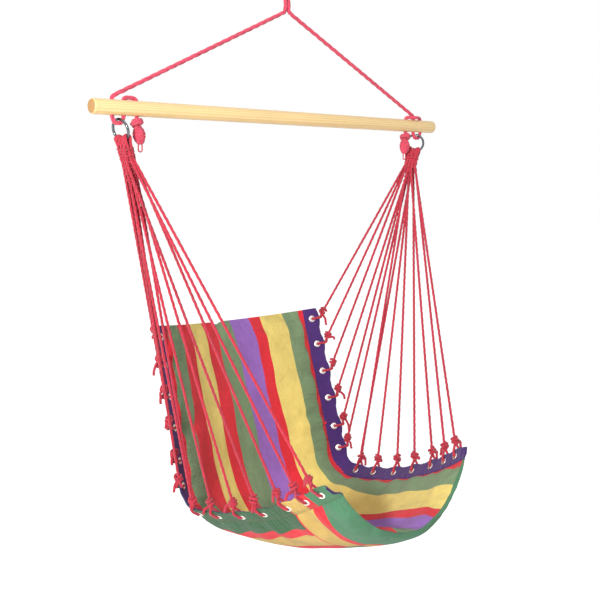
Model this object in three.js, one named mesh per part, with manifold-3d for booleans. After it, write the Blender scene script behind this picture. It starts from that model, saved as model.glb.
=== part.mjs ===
import * as THREE from 'three';
import { mergeVertices } from 'three/addons/utils/BufferGeometryUtils.js';
import Module from 'manifold-3d';

const wasm = await Module();
wasm.setup();

// Hammock chair: a padded sling, corded along both sides to two steel rings,
// which hang in rope hitches under a wooden spreader bar.
// Millimetres. X runs along the bar, the sitter faces -Y, +Z is up.
// The origin is the hanging point, at the top of the opening in the hanging loop.

// Clearances
const seatGap = 0.3;
const swingGap = 0.8;
const cutOverrun = 2;

// Suspension rope, its hanging loop and the knot below it
const rope = { diameter: 9, bendRadius: 11, humpRise: 0.9, humpRadius: 6.8 };
const legEntry = { left: { rise: 5.8, bendRadius: 8 }, right: { rise: 9, bendRadius: 11 } };
const legCrossing = { aside: 11, bendRadius: 11 };
const loop = { length: 56, innerWidth: 22, shoulder: 30 };
const knot = { coreDiameter: 22, strandDiameter: 9 };
const neckLength = 55;
const bridleRise = 228;

// Spreader bar, with three rope holes at each end
const bar = { length: 1000, diameter: 30, endRound: 4, holeClearance: 0.6 };
const holes = { firstFromEnd: 46, ringSpan: 26, tailSpan: 30 };

// Stopper knots under the bar
const stopper = { width: 28, depth: 22, headHeight: 22, bodyWidth: 24, bodyHeight: 36, tuck: 6 };
const stopperTail = { diameter: 6.4, length: 20 };

// Rings and the cords that hang on them
const ring = { outerDiameter: 48, wireDiameter: 5.5, underBar: 4 };
const pullAngle = THREE.MathUtils.degToRad(16);
const ringTurns = { left: THREE.MathUtils.degToRad(6), right: THREE.MathUtils.degToRad(-34) };
const cord = { diameter: 5.8 };
const bundle = { drop: 12, length: 74 };
const binding = { wall: 2.4, endMargin: 1.8 };
const cordKnot = { width: 15, length: 24, standOff: 22, lip: 4 };

// Sling: a straight back, a tight corner and a seat that rises to its front edge
const back = { length: 360, lean: THREE.MathUtils.degToRad(16), topBack: 158, topDrop: 454 };
const corner = { radius: 45 };
const seat = {
  length: 380,
  startTilt: THREE.MathUtils.degToRad(5),
  endTilt: THREE.MathUtils.degToRad(34),
};
const halfWidth = { top: 250, corner: 258, front: 213 };
const sag = { top: 56, corner: 98, front: 134 };

// Edge bands and eyelets
const band = { width: 40, thickness: 4.2, slotDepth: 10, ply: 0.9 };
const eyelet = { bore: 9, barrel: 11.6, flange: 16.4, flangeThickness: 0.9, inset: 19, cordShift: 1.8, facets: 8 };
const backEyeletShares = [0.0726, 0.2542, 0.4494, 0.6424, 0.8467, 1];
const seatEyeletShares = [0, 0.157, 0.341, 0.506, 0.677, 0.802, 0.909];

// Padded panel: two covers and the filling between them
const pad = { thickness: 19, cover: 0.75, crownRun: 60, endRun: 50, fillingMargin: 11 };
const frontHollow = { depth: 26, run: 210 };

// Facet counts
const facets = { bar: 24, rope: 8, cord: 6, knot: 8, cordKnot: 6, ring: 24, wire: 8, binding: 14 };
const cornerRowShares = [0.03, 0.24, 0.45, 0.66, 0.87];
const endRowShare = 0.6;
const padRunShares = [0, 0.18, 0.5, 1];
const padInnerShares = [0.36, 0.7, 1];
const bendStep = THREE.MathUtils.degToRad(23);
const loopStep = THREE.MathUtils.degToRad(45);
const twistSteps = 2;

// Places that follow from the sizes
const knotZ = -(loop.length + knot.coreDiameter / 2);
const apexZ = knotZ - neckLength;
const barZ = apexZ - bridleRise;
const outerHoleX = bar.length / 2 - holes.firstFromEnd;
const middleHoleX = outerHoleX - holes.ringSpan;
const tailHoleX = middleHoleX - holes.tailSpan;
const ropeHoles = { left: [outerHoleX, middleHoleX], right: [middleHoleX, outerHoleX] };
const ringX = (outerHoleX + middleHoleX) / 2;
const ringTopZ = barZ - bar.diameter / 2 - ring.underBar - ring.wireDiameter / 2;
const hitchBottomZ = ringTopZ - ring.wireDiameter / 2 - swingGap - rope.diameter / 2;
const cordPitch = cord.diameter + seatGap;
const ringRadius = (ring.outerDiameter - ring.wireDiameter) / 2;
const bundleStart = 2 * ringRadius + ring.wireDiameter / 2 + bundle.drop;
const sides = { left: -1, right: 1 };

// Shape helpers

function closedGeometry(positions, triangles) {
  const geometry = new THREE.BufferGeometry();
  geometry.setAttribute('position', new THREE.Float32BufferAttribute(positions, 3));
  geometry.setIndex(triangles);
  return geometry;
}

function toSolid(geometry) {
  const bare = geometry.clone();
  bare.deleteAttribute('normal');
  bare.deleteAttribute('uv');
  const merged = mergeVertices(bare);
  return new wasm.Manifold(new wasm.Mesh({
    numProp: 3,
    vertProperties: new Float32Array(merged.attributes.position.array),
    triVerts: new Uint32Array(merged.index.array),
  }));
}

function toGeometry(solid) {
  const mesh = solid.getMesh();
  return closedGeometry(Array.from(mesh.vertProperties), Array.from(mesh.triVerts));
}

function fuse(geometries) {
  return toGeometry(geometries.map(toSolid).reduce((whole, piece) => whole.add(piece)));
}

function cut(geometry, tools) {
  return toGeometry(tools.map(toSolid).reduce((rest, tool) => rest.subtract(tool), toSolid(geometry)));
}

function vector(x, y, z) {
  return new THREE.Vector3(x, y, z);
}

function headingAt(route, i) {
  const before = route[Math.max(i - 1, 0)];
  const after = route[Math.min(i + 1, route.length - 1)];
  const inward = route[i].clone().sub(before).normalize();
  const outward = after.clone().sub(route[i]).normalize();
  return inward.add(outward).normalize();
}

// A closed shape through rings of points, each turning left about the way onward. The cap lists
// the triangles that close a ring.
function loft(rings, cap) {
  const count = rings[0].length;
  const positions = rings.flat().flatMap((point) => [point.x, point.y, point.z]);
  const triangles = [];
  for (let i = 0; i < rings.length - 1; i += 1) {
    for (let k = 0; k < count; k += 1) {
      const a = i * count + k;
      const b = i * count + (k + 1) % count;
      triangles.push(a, b, b + count, a, b + count, a + count);
    }
  }
  const last = (rings.length - 1) * count;
  cap.forEach(([p, q, r]) => triangles.push(p, r, q, last + p, last + q, last + r));
  return closedGeometry(positions, triangles);
}

// A tube of even section along a route, its section carried without twist. One of its flats
// faces the way given.
function tube(route, diameter, count, facing) {
  const first = headingAt(route, 0);
  let side = facing || (Math.abs(first.y) > Math.abs(first.x) ? vector(1, 0, 0) : vector(0, 1, 0));
  const rings = route.map((point, i) => {
    const heading = headingAt(route, i);
    side = side.clone().addScaledVector(heading, -side.dot(heading)).normalize();
    const up = heading.clone().cross(side);
    return Array.from({ length: count }, (_, k) => {
      const turn = (2 * Math.PI * (k + 0.5)) / count;
      return point.clone()
        .addScaledVector(side, Math.cos(turn) * diameter / 2)
        .addScaledVector(up, Math.sin(turn) * diameter / 2);
    });
  });
  return loft(rings, Array.from({ length: count - 2 }, (_, k) => [0, k + 1, k + 2]));
}

// A route through corners, each rounded to its radius
function roundedRoute(corners, radii) {
  const route = [corners[0]];
  for (let i = 1; i < corners.length - 1; i += 1) {
    const inward = corners[i].clone().sub(corners[i - 1]).normalize();
    const outward = corners[i + 1].clone().sub(corners[i]).normalize();
    const turn = inward.angleTo(outward);
    const reach = radii[i - 1] * Math.tan(turn / 2);
    const start = corners[i].clone().addScaledVector(inward, -reach);
    const centreWay = outward.clone().addScaledVector(inward, -outward.dot(inward)).normalize();
    const centre = start.clone().addScaledVector(centreWay, radii[i - 1]);
    const steps = Math.ceil(turn / bendStep);
    for (let k = 0; k <= steps; k += 1) {
      const angle = (turn * k) / steps;
      route.push(centre.clone()
        .addScaledVector(centreWay, -radii[i - 1] * Math.cos(angle))
        .addScaledVector(inward, radii[i - 1] * Math.sin(angle)));
    }
  }
  route.push(corners[corners.length - 1]);
  return route.filter((point, i) => i === 0 || point.distanceTo(route[i - 1]) > seatGap / 2);
}

// An ellipsoid whose long axis points along a direction
function bead(centre, direction, across, depth, along, count) {
  const shape = new THREE.SphereGeometry(1, count, count - 2);
  shape.scale(across / 2, along / 2, depth / 2);
  shape.applyQuaternion(new THREE.Quaternion().setFromUnitVectors(vector(0, 1, 0), direction));
  shape.translate(centre.x, centre.y, centre.z);
  return shape;
}

// A profile of radius and height pairs, revolved round a direction through a centre
function revolved(profile, centre, direction, count) {
  const shape = new THREE.LatheGeometry(profile.map(([r, h]) => new THREE.Vector2(r, h)), count);
  shape.applyQuaternion(new THREE.Quaternion().setFromUnitVectors(vector(0, 1, 0), direction));
  shape.translate(centre.x, centre.y, centre.z);
  return shape;
}

// Hanging loop and knot

function hangingLoop() {
  const neckX = rope.diameter / 2 + seatGap / 2;
  const loopRadius = (loop.innerWidth + rope.diameter) / 2;
  const foot = knotZ + knot.coreDiameter / 2 + seatGap;
  const archZ = rope.diameter / 2 - loopRadius;
  const route = [
    vector(-neckX, 0, foot), vector(-neckX, 0, foot + rope.diameter),
    vector(-loopRadius, 0, -loop.shoulder + archZ / 2),
  ];
  const steps = Math.ceil(Math.PI / bendStep);
  for (let k = 0; k <= steps; k += 1) {
    const angle = Math.PI * (1 - k / steps);
    route.push(vector(loopRadius * Math.cos(angle), 0, archZ + loopRadius * Math.sin(angle)));
  }
  route.push(vector(loopRadius, 0, -loop.shoulder + archZ / 2),
    vector(neckX, 0, foot + rope.diameter), vector(neckX, 0, foot));
  return tube(route, rope.diameter, facets.rope);
}

function knotCore() {
  const size = knot.coreDiameter;
  return bead(vector(0, 0, knotZ), vector(0, 0, 1), size, size, size, facets.knot + 2);
}

function knotWrap() {
  const middle = knot.coreDiameter / 2 + swingGap + knot.strandDiameter / 2;
  const shape = new THREE.TorusGeometry(middle, knot.strandDiameter / 2, facets.wire, facets.ring / 2 + 4);
  shape.translate(0, 0, knotZ);
  return shape;
}

// Suspension rope of one side: down from the knot, out to the bar, down one hole, round under
// the ring, up the next hole and down the tail's hole to its stopper knot. Where its leg stands
// in the middle hole, the rope goes past in front of the leg.

function suspensionRope(sideName) {
  const side = sides[sideName];
  const entry = legEntry[sideName];
  const [legX, returnX] = ropeHoles[sideName];
  const neckX = rope.diameter / 2 + seatGap / 2;
  const barTop = barZ + bar.diameter / 2;
  const crestZ = barTop + rope.diameter / 2 + rope.humpRise;
  const passesLeg = returnX > legX;
  const corners = [
    vector(side * neckX, 0, knotZ - knot.coreDiameter / 2 - seatGap),
    vector(side * neckX, 0, apexZ),
    vector(side * legX, 0, barTop + entry.rise),
    vector(side * legX, 0, hitchBottomZ),
    vector(side * returnX, 0, hitchBottomZ),
    vector(side * returnX, 0, crestZ),
    ...(passesLeg ? [vector(side * legX, -legCrossing.aside, crestZ)] : []),
    vector(side * tailHoleX, 0, crestZ),
    vector(side * tailHoleX, 0, barZ - bar.diameter / 2),
  ];
  const hitchRadius = holes.ringSpan / 2;
  const radii = [
    rope.bendRadius, entry.bendRadius, hitchRadius, hitchRadius, rope.humpRadius,
    ...(passesLeg ? [legCrossing.bendRadius] : []), rope.humpRadius,
  ];
  return tube(roundedRoute(corners, radii), rope.diameter, facets.rope);
}

function stopperKnot(side) {
  const up = vector(0, 0, 1);
  const headZ = barZ - bar.diameter / 2 - seatGap - stopper.headHeight / 2;
  const bodyZ = headZ - stopper.headHeight / 2 - stopper.bodyHeight / 2 + stopper.tuck;
  const tailTop = vector(side * tailHoleX, 0, bodyZ);
  const tailEnd = vector(side * tailHoleX, 0, bodyZ - stopper.bodyHeight / 2 - stopperTail.length);
  const head = bead(vector(side * tailHoleX, 0, headZ), up,
    stopper.width, stopper.depth, stopper.headHeight, facets.knot);
  const body = bead(vector(side * tailHoleX, 0, bodyZ), up,
    stopper.bodyWidth, stopper.depth, stopper.bodyHeight, facets.knot);
  return fuse([head, body, tube([tailTop, tailEnd], stopperTail.diameter, facets.cord)]);
}

// Spreader bar: a rounded dowel with vertical rope holes

function spreaderBar() {
  const radius = bar.diameter / 2;
  const half = bar.length / 2;
  const edge = bar.endRound;
  const bevel = edge * (1 - Math.SQRT1_2);
  const dowel = revolved([
    [0, -half], [radius - edge, -half], [radius - bevel, bevel - half], [radius, edge - half],
    [radius, half - edge], [radius - bevel, half - bevel], [radius - edge, half], [0, half],
  ], vector(0, 0, barZ), vector(1, 0, 0), facets.bar);
  const drills = [];
  Object.values(sides).forEach((side) => {
    [outerHoleX, middleHoleX, tailHoleX].forEach((x) => {
      const drill = new THREE.CylinderGeometry(
        rope.diameter / 2 + bar.holeClearance, rope.diameter / 2 + bar.holeClearance,
        bar.diameter + 2 * cutOverrun, facets.bar / 2);
      drill.rotateX(Math.PI / 2);
      drill.translate(side * x, 0, barZ);
      drills.push(drill);
    });
  });
  return cut(dowel, drills);
}

// Ring frames: down is the way the cords pull, along lies in the sling's side, out faces away
// from the sling. The ring's turn about its pull runs out over the bundle's length.

function ringPlace(sideName, reach, along, out, turnShare) {
  const side = sides[sideName];
  const turn = ringTurns[sideName] * turnShare;
  const down = vector(-side * Math.sin(pullAngle), 0, -Math.cos(pullAngle));
  const outward = vector(side * Math.cos(pullAngle), 0, -Math.sin(pullAngle));
  const sideways = vector(0, 1, 0);
  return vector(side * ringX, 0, ringTopZ)
    .addScaledVector(down, reach)
    .addScaledVector(sideways, along * Math.cos(turn) - out * Math.sin(turn))
    .addScaledVector(outward, along * Math.sin(turn) + out * Math.cos(turn));
}

function steelRing(sideName) {
  const shape = new THREE.TorusGeometry(ringRadius, ring.wireDiameter / 2, facets.wire, facets.ring);
  const centre = ringPlace(sideName, ringRadius, 0, 0, 1);
  const across = ringPlace(sideName, ringRadius, 1, 0, 1).sub(centre);
  const down = ringPlace(sideName, ringRadius + 1, 0, 0, 1).sub(centre);
  const facing = across.clone().cross(down);
  shape.applyMatrix4(new THREE.Matrix4().makeBasis(across, down, facing));
  shape.translate(centre.x, centre.y, centre.z);
  return shape;
}

// A collar round the bundle, down to the place where the first cords leave it
function cordBinding(sideName) {
  const inner = Math.hypot(cordPitch, 1.5 * cordPitch) + cord.diameter / 2 + seatGap;
  const outer = inner + binding.wall;
  const run = bundle.length * cordPlan[0].stayShare;
  const middle = bundleStart + run / 2;
  const half = run / 2 - binding.endMargin;
  const centre = ringPlace(sideName, middle, 0, 0, 0);
  const down = ringPlace(sideName, middle + 1, 0, 0, 0).sub(centre);
  const lip = binding.wall / 2;
  return revolved([
    [inner, -half], [outer - lip, -half], [outer, lip - half],
    [outer, half - lip], [outer - lip, half], [inner, half], [inner, -half],
  ], centre, down, facets.binding);
}

// Sling surface. v runs down the back and forward along the seat, from the top edge.

const cornerTurn = Math.PI / 2 - back.lean + seat.startTilt;
const cornerRun = corner.radius * cornerTurn;
const slingLength = back.length + cornerRun + seat.length;
const seatRadius = seat.length / (seat.endTilt - seat.startTilt);

// Side view of the edge: a point, and the normal that points away from the sitter
function edgeProfile(v) {
  const heading = (turn) => vector(0, -Math.sin(turn), -Math.cos(turn));
  const arc = (from, start, end, radius) => from.clone()
    .add(vector(0, radius * (Math.cos(end) - Math.cos(start)), -radius * (Math.sin(end) - Math.sin(start))));
  const top = vector(0, back.topBack, barZ - back.topDrop);
  const foot = top.clone().addScaledVector(heading(back.lean), back.length);
  const seatTurn = back.lean + cornerTurn;
  let turn = back.lean;
  let point = top.clone().addScaledVector(heading(turn), Math.min(v, back.length));
  if (v > back.length) {
    turn = back.lean + Math.min(v - back.length, cornerRun) / corner.radius;
    point = arc(foot, back.lean, turn, corner.radius);
  }
  if (v > back.length + cornerRun) {
    turn = seatTurn + (v - back.length - cornerRun) / seatRadius;
    point = arc(point, seatTurn, turn, seatRadius);
  }
  return { point, away: vector(0, Math.cos(turn), -Math.sin(turn)) };
}

function halfWidthAt(v) {
  const cornerShare = Math.min(v / back.length, 1);
  const frontShare = Math.max(v - back.length, 0) / (slingLength - back.length);
  const behind = halfWidth.top + (halfWidth.corner - halfWidth.top) * cornerShare;
  return behind - (halfWidth.corner - halfWidth.front) * frontShare ** 2;
}

function sagAt(v) {
  const middle = back.length + cornerRun / 2;
  if (v < middle) return sag.top + (sag.corner - sag.top) * (v / middle);
  return sag.corner + (sag.front - sag.corner) * (v - middle) / (slingLength - middle);
}

// Length along a parabola of half width w and depth d, from its middle to a share of w
function halfSection(w, d, share) {
  const steepness = 2 * d / w;
  return (w / 2) * (share * Math.hypot(1, steepness * share) + Math.asinh(steepness * share) / steepness);
}

// The share of the half width that lies a given length in from the edge
function shareFromEdge(w, d, inset) {
  const target = halfSection(w, d, 1) - inset;
  let share = 1 - inset / w;
  for (let pass = 0; pass < 6; pass += 1) {
    const slope = w * Math.hypot(1, (2 * d / w) * share);
    share -= (halfSection(w, d, share) - target) / slope;
  }
  return share;
}

function sectionPoint(v, x, depthShare) {
  const { point, away } = edgeProfile(v);
  return point.clone().addScaledVector(away, sagAt(v) * depthShare).add(vector(x, 0, 0));
}

// A point of one section, a given length in from the edge. The band's width lies flat.
function rowPoint(v, inset, side) {
  const w = halfWidthAt(v);
  const shelf = band.width + 1.5 * seatGap;
  const share = shareFromEdge(w, sagAt(v), Math.max(inset, shelf));
  const point = sectionPoint(v, side * w * share, 1 - share ** 2);
  if (inset >= shelf) return point;
  return sectionPoint(v, side * w, 0).lerp(point, inset / shelf);
}

// Eyelets stand clear of the rows that bend round the corner
const eyeletClear = eyelet.flange / 2 + seatGap;
const backEnd = back.length + cornerRowShares[0] * cornerRun - eyeletClear;
const seatStart = back.length + cornerRowShares[cornerRowShares.length - 1] * cornerRun + eyeletClear;
const eyeletPlaces = [
  ...backEyeletShares.map((share) => share * backEnd),
  ...seatEyeletShares.map((share) => seatStart + share * (slingLength - seatStart)),
];
const backEyelets = backEyeletShares.length;

// Rows of facets: one between each two eyelets, and closer ones round the corner
const rowPlaces = [0, slingLength,
  ...cornerRowShares.map((share) => back.length + share * cornerRun),
  ...eyeletPlaces.slice(1).map((place, i) => (place + eyeletPlaces[i]) / 2)
    .filter((place, i) => i !== backEyelets - 1),
].sort((a, b) => a - b);

// All rows of the panel and its bands: the ends get closer ones, where the padding starts
const endRows = [pad.fillingMargin, pad.endRun * endRowShare];
const gridPlaces = [...rowPlaces, ...endRows, ...endRows.map((place) => slingLength - place)]
  .sort((a, b) => a - b);

// A point of the faceted sling, straight between two rows
function slingPoint(v, inset, side) {
  const after = Math.max(1, rowPlaces.findIndex((place) => place >= v));
  const from = rowPlaces[after - 1];
  const to = rowPlaces[after];
  return rowPoint(from, inset, side).lerp(rowPoint(to, inset, side), (v - from) / (to - from));
}

// Frame of the band at a place: its edge point, the way out of the sling and the sitter's side
function bandFrame(v, side) {
  const step = (rowPlaces[1] - rowPlaces[0]) / rowPlaces.length;
  const edge = slingPoint(v, 0, side);
  const out = edge.clone().sub(slingPoint(v, band.width, side)).normalize();
  const onward = slingPoint(Math.min(v + step, slingLength), eyelet.inset, side)
    .sub(slingPoint(Math.max(v - step, 0), eyelet.inset, side)).normalize();
  const facing = onward.clone().cross(out).multiplyScalar(side).normalize();
  return { edge, out, facing };
}

// A slab between two grids of points, the first on the sitter's side, columns from left to right
function slab(upper, lower) {
  const rows = upper.length;
  const columns = upper[0].length;
  const positions = [...upper.flat(), ...lower.flat()].flatMap((point) => [point.x, point.y, point.z]);
  const at = (i, j) => i * columns + j;
  const under = rows * columns;
  const triangles = [];
  const wall = (a, b) => triangles.push(b, a, a + under, b, a + under, b + under);
  for (let i = 0; i < rows - 1; i += 1) {
    for (let j = 0; j < columns - 1; j += 1) {
      const [a, b, c, d] = [at(i, j), at(i + 1, j), at(i + 1, j + 1), at(i, j + 1)];
      triangles.push(a, b, c, a, c, d);
      triangles.push(a + under, c + under, b + under, a + under, d + under, c + under);
    }
    wall(at(i, 0), at(i + 1, 0));
    wall(at(i + 1, columns - 1), at(i, columns - 1));
  }
  for (let j = 0; j < columns - 1; j += 1) {
    wall(at(0, j + 1), at(0, j));
    wall(at(rows - 1, j), at(rows - 1, j + 1));
  }
  return closedGeometry(positions, triangles);
}

// Edge band: one strip per side, slotted along its inner edge for the panel, punched for eyelets
function edgeBand(side) {
  const half = band.thickness / 2;
  const slotHalf = half - band.ply;
  const floor = band.width - band.slotDepth;
  const outline = [
    [0, -half], [eyelet.inset, -half], [band.width, -half], [band.width, -slotHalf], [floor, -slotHalf],
    [floor, slotHalf], [band.width, slotHalf], [band.width, half], [eyelet.inset, half], [0, half],
  ];
  if (side > 0) outline.reverse();
  const rings = gridPlaces.map((v) => {
    const { facing } = bandFrame(v, side);
    return outline.map(([inset, height]) => slingPoint(v, inset, side).addScaledVector(facing, height));
  });
  const contour = outline.map(([inset, height]) => new THREE.Vector2(-side * inset, height));
  const punches = eyeletPlaces.map((v) => {
    const { edge, out, facing } = bandFrame(v, side);
    const punch = new THREE.CylinderGeometry(
      eyelet.barrel / 2 + seatGap, eyelet.barrel / 2 + seatGap,
      band.thickness + 2 * cutOverrun, eyelet.facets);
    punch.applyQuaternion(new THREE.Quaternion().setFromUnitVectors(vector(0, 1, 0), facing));
    const centre = edge.clone().addScaledVector(out, -eyelet.inset);
    punch.translate(centre.x, centre.y, centre.z);
    return punch;
  });
  return cut(loft(rings, THREE.ShapeUtils.triangulateShape(contour, [])), punches);
}

function eyeletAt(v, side) {
  const { edge, out, facing } = bandFrame(v, side);
  const seatHeight = band.thickness / 2 + seatGap;
  const rim = seatHeight + eyelet.flangeThickness;
  return revolved([
    [eyelet.bore / 2, -rim], [eyelet.flange / 2, -seatHeight], [eyelet.barrel / 2, -seatHeight],
    [eyelet.barrel / 2, seatHeight], [eyelet.flange / 2, seatHeight], [eyelet.bore / 2, rim],
    [eyelet.bore / 2, -rim],
  ], edge.clone().addScaledVector(out, -eyelet.inset), facing, eyelet.facets);
}

// Padded panel. Its front edge is drawn back in the middle.

function panelPoint(v, inset, shelf, side) {
  const middleAt = (place) => halfSection(halfWidthAt(place), sagAt(place), 1) - shelf;
  const across = Math.max(0, (inset - shelf) / middleAt(v));
  const along = Math.max(0, 1 - (slingLength - v) / frontHollow.run);
  const drawn = v - frontHollow.depth * (1 - (1 - across) ** 2) * along ** 2;
  return slingPoint(drawn, across > 0 ? shelf + across * middleAt(drawn) : inset, side);
}

function padGrid() {
  const hem = band.width - band.slotDepth + seatGap;
  const shelf = band.width + 2 * seatGap;
  const rise = (run, length) => Math.sqrt(1 - (1 - Math.min(run / length, 1)) ** 2);
  return gridPlaces.map((v) => {
    const w = halfWidthAt(v);
    const middle = halfSection(w, sagAt(v), 1);
    const insets = [hem, ...padRunShares.map((share) => shelf + share * pad.crownRun)];
    const far = shelf + pad.crownRun;
    insets.push(...padInnerShares.map((share) => far + share * (middle - far)));
    const half = insets.map((inset) => ({
      inset,
      crown: rise(Math.max(inset - shelf, 0), pad.crownRun) * rise(Math.min(v, slingLength - v), pad.endRun),
    }));
    const left = half.map(({ inset, crown }) => ({ point: panelPoint(v, inset, shelf, -1), crown }));
    const right = half.slice(0, -1).reverse()
      .map(({ inset, crown }) => ({ point: panelPoint(v, inset, shelf, 1), crown }));
    return [...left, ...right];
  });
}

function withNormals(grid) {
  const last = grid.length - 1;
  const edge = grid[0].length - 1;
  return grid.map((row, i) => row.map(({ point, crown }, j) => {
    const onward = grid[Math.min(i + 1, last)][j].point.clone().sub(grid[Math.max(i - 1, 0)][j].point);
    const across = row[Math.min(j + 1, edge)].point.clone().sub(row[Math.max(j - 1, 0)].point);
    return { point, crown, facing: onward.cross(across).normalize() };
  }));
}

function padLayer(grid, upperLift, lowerLift) {
  const face = (lift) => grid.map((row) => row.map(({ point, crown, facing }) =>
    point.clone().addScaledVector(facing, lift(crown))));
  return slab(face(upperLift), face(lowerLift));
}

const coverLift = (crown) => pad.cover + seatGap / 2 + (pad.thickness / 2 - pad.cover - seatGap / 2) * crown;
const fillingLift = (crown) => coverLift(crown) - pad.cover - seatGap;
const panelGrid = withNormals(padGrid());

function fillingGrid() {
  const reach = padRunShares.length - 2;
  return panelGrid.slice(1, -1).map((row) => row.slice(reach, -reach));
}

// Cords. Each one is doubled over its ring and tied to two eyelets.

// Eyelets of the two legs, the place along the ring in cord pitches, the layer on the ring, and
// the share of the bundle's length that the cord stays in it
const cordPlan = [
  { inner: 0, outer: 1, slot: 1.5, layer: 0, stayShare: 0.27 },
  { inner: 2, outer: 3, slot: 1, layer: 1, stayShare: 0.46 },
  { inner: 4, outer: 5, slot: 0.5, layer: 0, stayShare: 0.7 },
  { inner: 6, outer: 6, slot: 0, layer: 1, stayShare: 1 },
  { inner: 8, outer: 7, slot: -0.5, layer: 0, stayShare: 0.7 },
  { inner: 10, outer: 9, slot: -1, layer: 1, stayShare: 0.46 },
  { inner: 12, outer: 11, slot: -1.5, layer: 0, stayShare: 0.27 },
];

function tieAt(sideName, index, stayShare) {
  const side = sides[sideName];
  const { edge, out, facing } = bandFrame(eyeletPlaces[index], side);
  const towards = ringPlace(sideName, bundleStart + stayShare * bundle.length, 0, 0, 0).sub(edge).normalize();
  const centre = edge.clone().addScaledVector(towards, cordKnot.standOff);
  const lift = band.thickness / 2 + 2 * seatGap + eyelet.flangeThickness + cord.diameter / 2;
  const at = (reach, height) => edge.clone().addScaledVector(out, reach).addScaledVector(facing, height);
  const through = eyelet.cordShift - eyelet.inset;
  const loopRoute = [
    centre, at(cordKnot.lip, lift), at(through, lift), at(through, -lift), at(cordKnot.lip, -lift), centre,
  ];
  return { centre, towards, facing, loopRoute };
}

// One leg, from its knot to the top of the bundle, which turns with the ring as it nears it
function legRoute(sideName, { slot, layer, stayShare }, outSign, knotEntry) {
  const route = [knotEntry];
  for (let k = 0; k <= twistSteps; k += 1) {
    const share = stayShare * (1 - k / twistSteps);
    route.push(ringPlace(sideName, bundleStart + share * bundle.length,
      slot * cordPitch, outSign * (layer + 0.5) * cordPitch, 1 - share));
  }
  return route;
}

// Angle on the ring between neighbouring cords of a layer, and a cord's place round the wire
function ringCrossing(sideName, { slot, layer }) {
  const clear = ring.wireDiameter / 2 + seatGap + cord.diameter / 2 + layer * cordPitch;
  const around = clear / Math.cos(loopStep / 2);
  const spacing = 2 * Math.asin(cordPitch / 2 / (ringRadius - around));
  const angle = slot * spacing;
  const wireAlong = ringRadius * Math.sin(angle);
  const wireReach = ringRadius * (1 + Math.cos(angle));
  const route = [];
  const belowReach = 2 * ringRadius + ring.wireDiameter / 2;
  const belowAlong = (wireAlong + slot * cordPitch) / 2;
  route.push(ringPlace(sideName, belowReach, belowAlong, -clear, 1));
  for (let turn = -Math.PI / 2; turn < Math.PI / 2 + loopStep / 2; turn += loopStep) {
    const inward = around * Math.cos(turn);
    route.push(ringPlace(sideName,
      wireReach - inward * Math.cos(angle), wireAlong - inward * Math.sin(angle),
      around * Math.sin(turn), 1));
  }
  route.push(ringPlace(sideName, belowReach, belowAlong, clear, 1));
  return route;
}

// Two legs of one knot enter it side by side
function doubledCord(sideName, plan) {
  const innerTie = tieAt(sideName, plan.inner, plan.stayShare);
  const outerTie = tieAt(sideName, plan.outer, plan.stayShare);
  const oneKnot = plan.inner === plan.outer;
  const apart = ringPlace(sideName, bundleStart, 0, cordPitch / 2, 0)
    .sub(ringPlace(sideName, bundleStart, 0, 0, 0)).multiplyScalar(oneKnot ? 1 : 0);
  const route = [
    ...legRoute(sideName, plan, -1, innerTie.centre.clone().sub(apart)),
    ...ringCrossing(sideName, plan),
    ...legRoute(sideName, plan, 1, outerTie.centre.clone().add(apart)).reverse(),
  ];
  const ties = oneKnot ? [innerTie] : [innerTie, outerTie];
  const pieces = [tube(route, cord.diameter, facets.cord)];
  ties.forEach((tie) => {
    pieces.push(bead(tie.centre, tie.towards,
      cordKnot.width, cordKnot.width, cordKnot.length, facets.cordKnot));
    pieces.push(tube(tie.loopRoute, cord.diameter, facets.cord, tie.facing));
  });
  return fuse(pieces);
}

// Finishes
const finishes = {
  wood: { color: 0xf2d7a2, roughness: 0.55, metalness: 0 },
  rope: { color: 0xd93a50, roughness: 0.9, metalness: 0 },
  steel: { color: 0xc9ccd0, roughness: 0.22, metalness: 1 },
  nickel: { color: 0xd8d2c4, roughness: 0.3, metalness: 1 },
  purple: { color: 0x5b3f8c, roughness: 0.95, metalness: 0 },
  topCloth: { color: 0xe8c25e, roughness: 0.95, metalness: 0 },
  underCloth: { color: 0x6f9272, roughness: 0.95, metalness: 0 },
  filling: { color: 0xf1efe8, roughness: 1, metalness: 0 },
};

const chair = new THREE.Group();

function addPiece(name, geometry, finish) {
  const mesh = new THREE.Mesh(geometry, new THREE.MeshStandardMaterial(finishes[finish]));
  mesh.name = name;
  chair.add(mesh);
}

addPiece('hanging_loop', hangingLoop(), 'rope');
addPiece('loop_knot_core', knotCore(), 'rope');
addPiece('loop_knot_wrap', knotWrap(), 'rope');
addPiece('spreader_bar', spreaderBar(), 'wood');
addPiece('top_cover', padLayer(panelGrid, coverLift, (crown) => coverLift(crown) - pad.cover), 'topCloth');
addPiece('pad_filling', padLayer(fillingGrid(), fillingLift, (crown) => -fillingLift(crown)), 'filling');
addPiece('bottom_cover', padLayer(panelGrid,
  (crown) => pad.cover - coverLift(crown), (crown) => -coverLift(crown)), 'underCloth');

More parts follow.
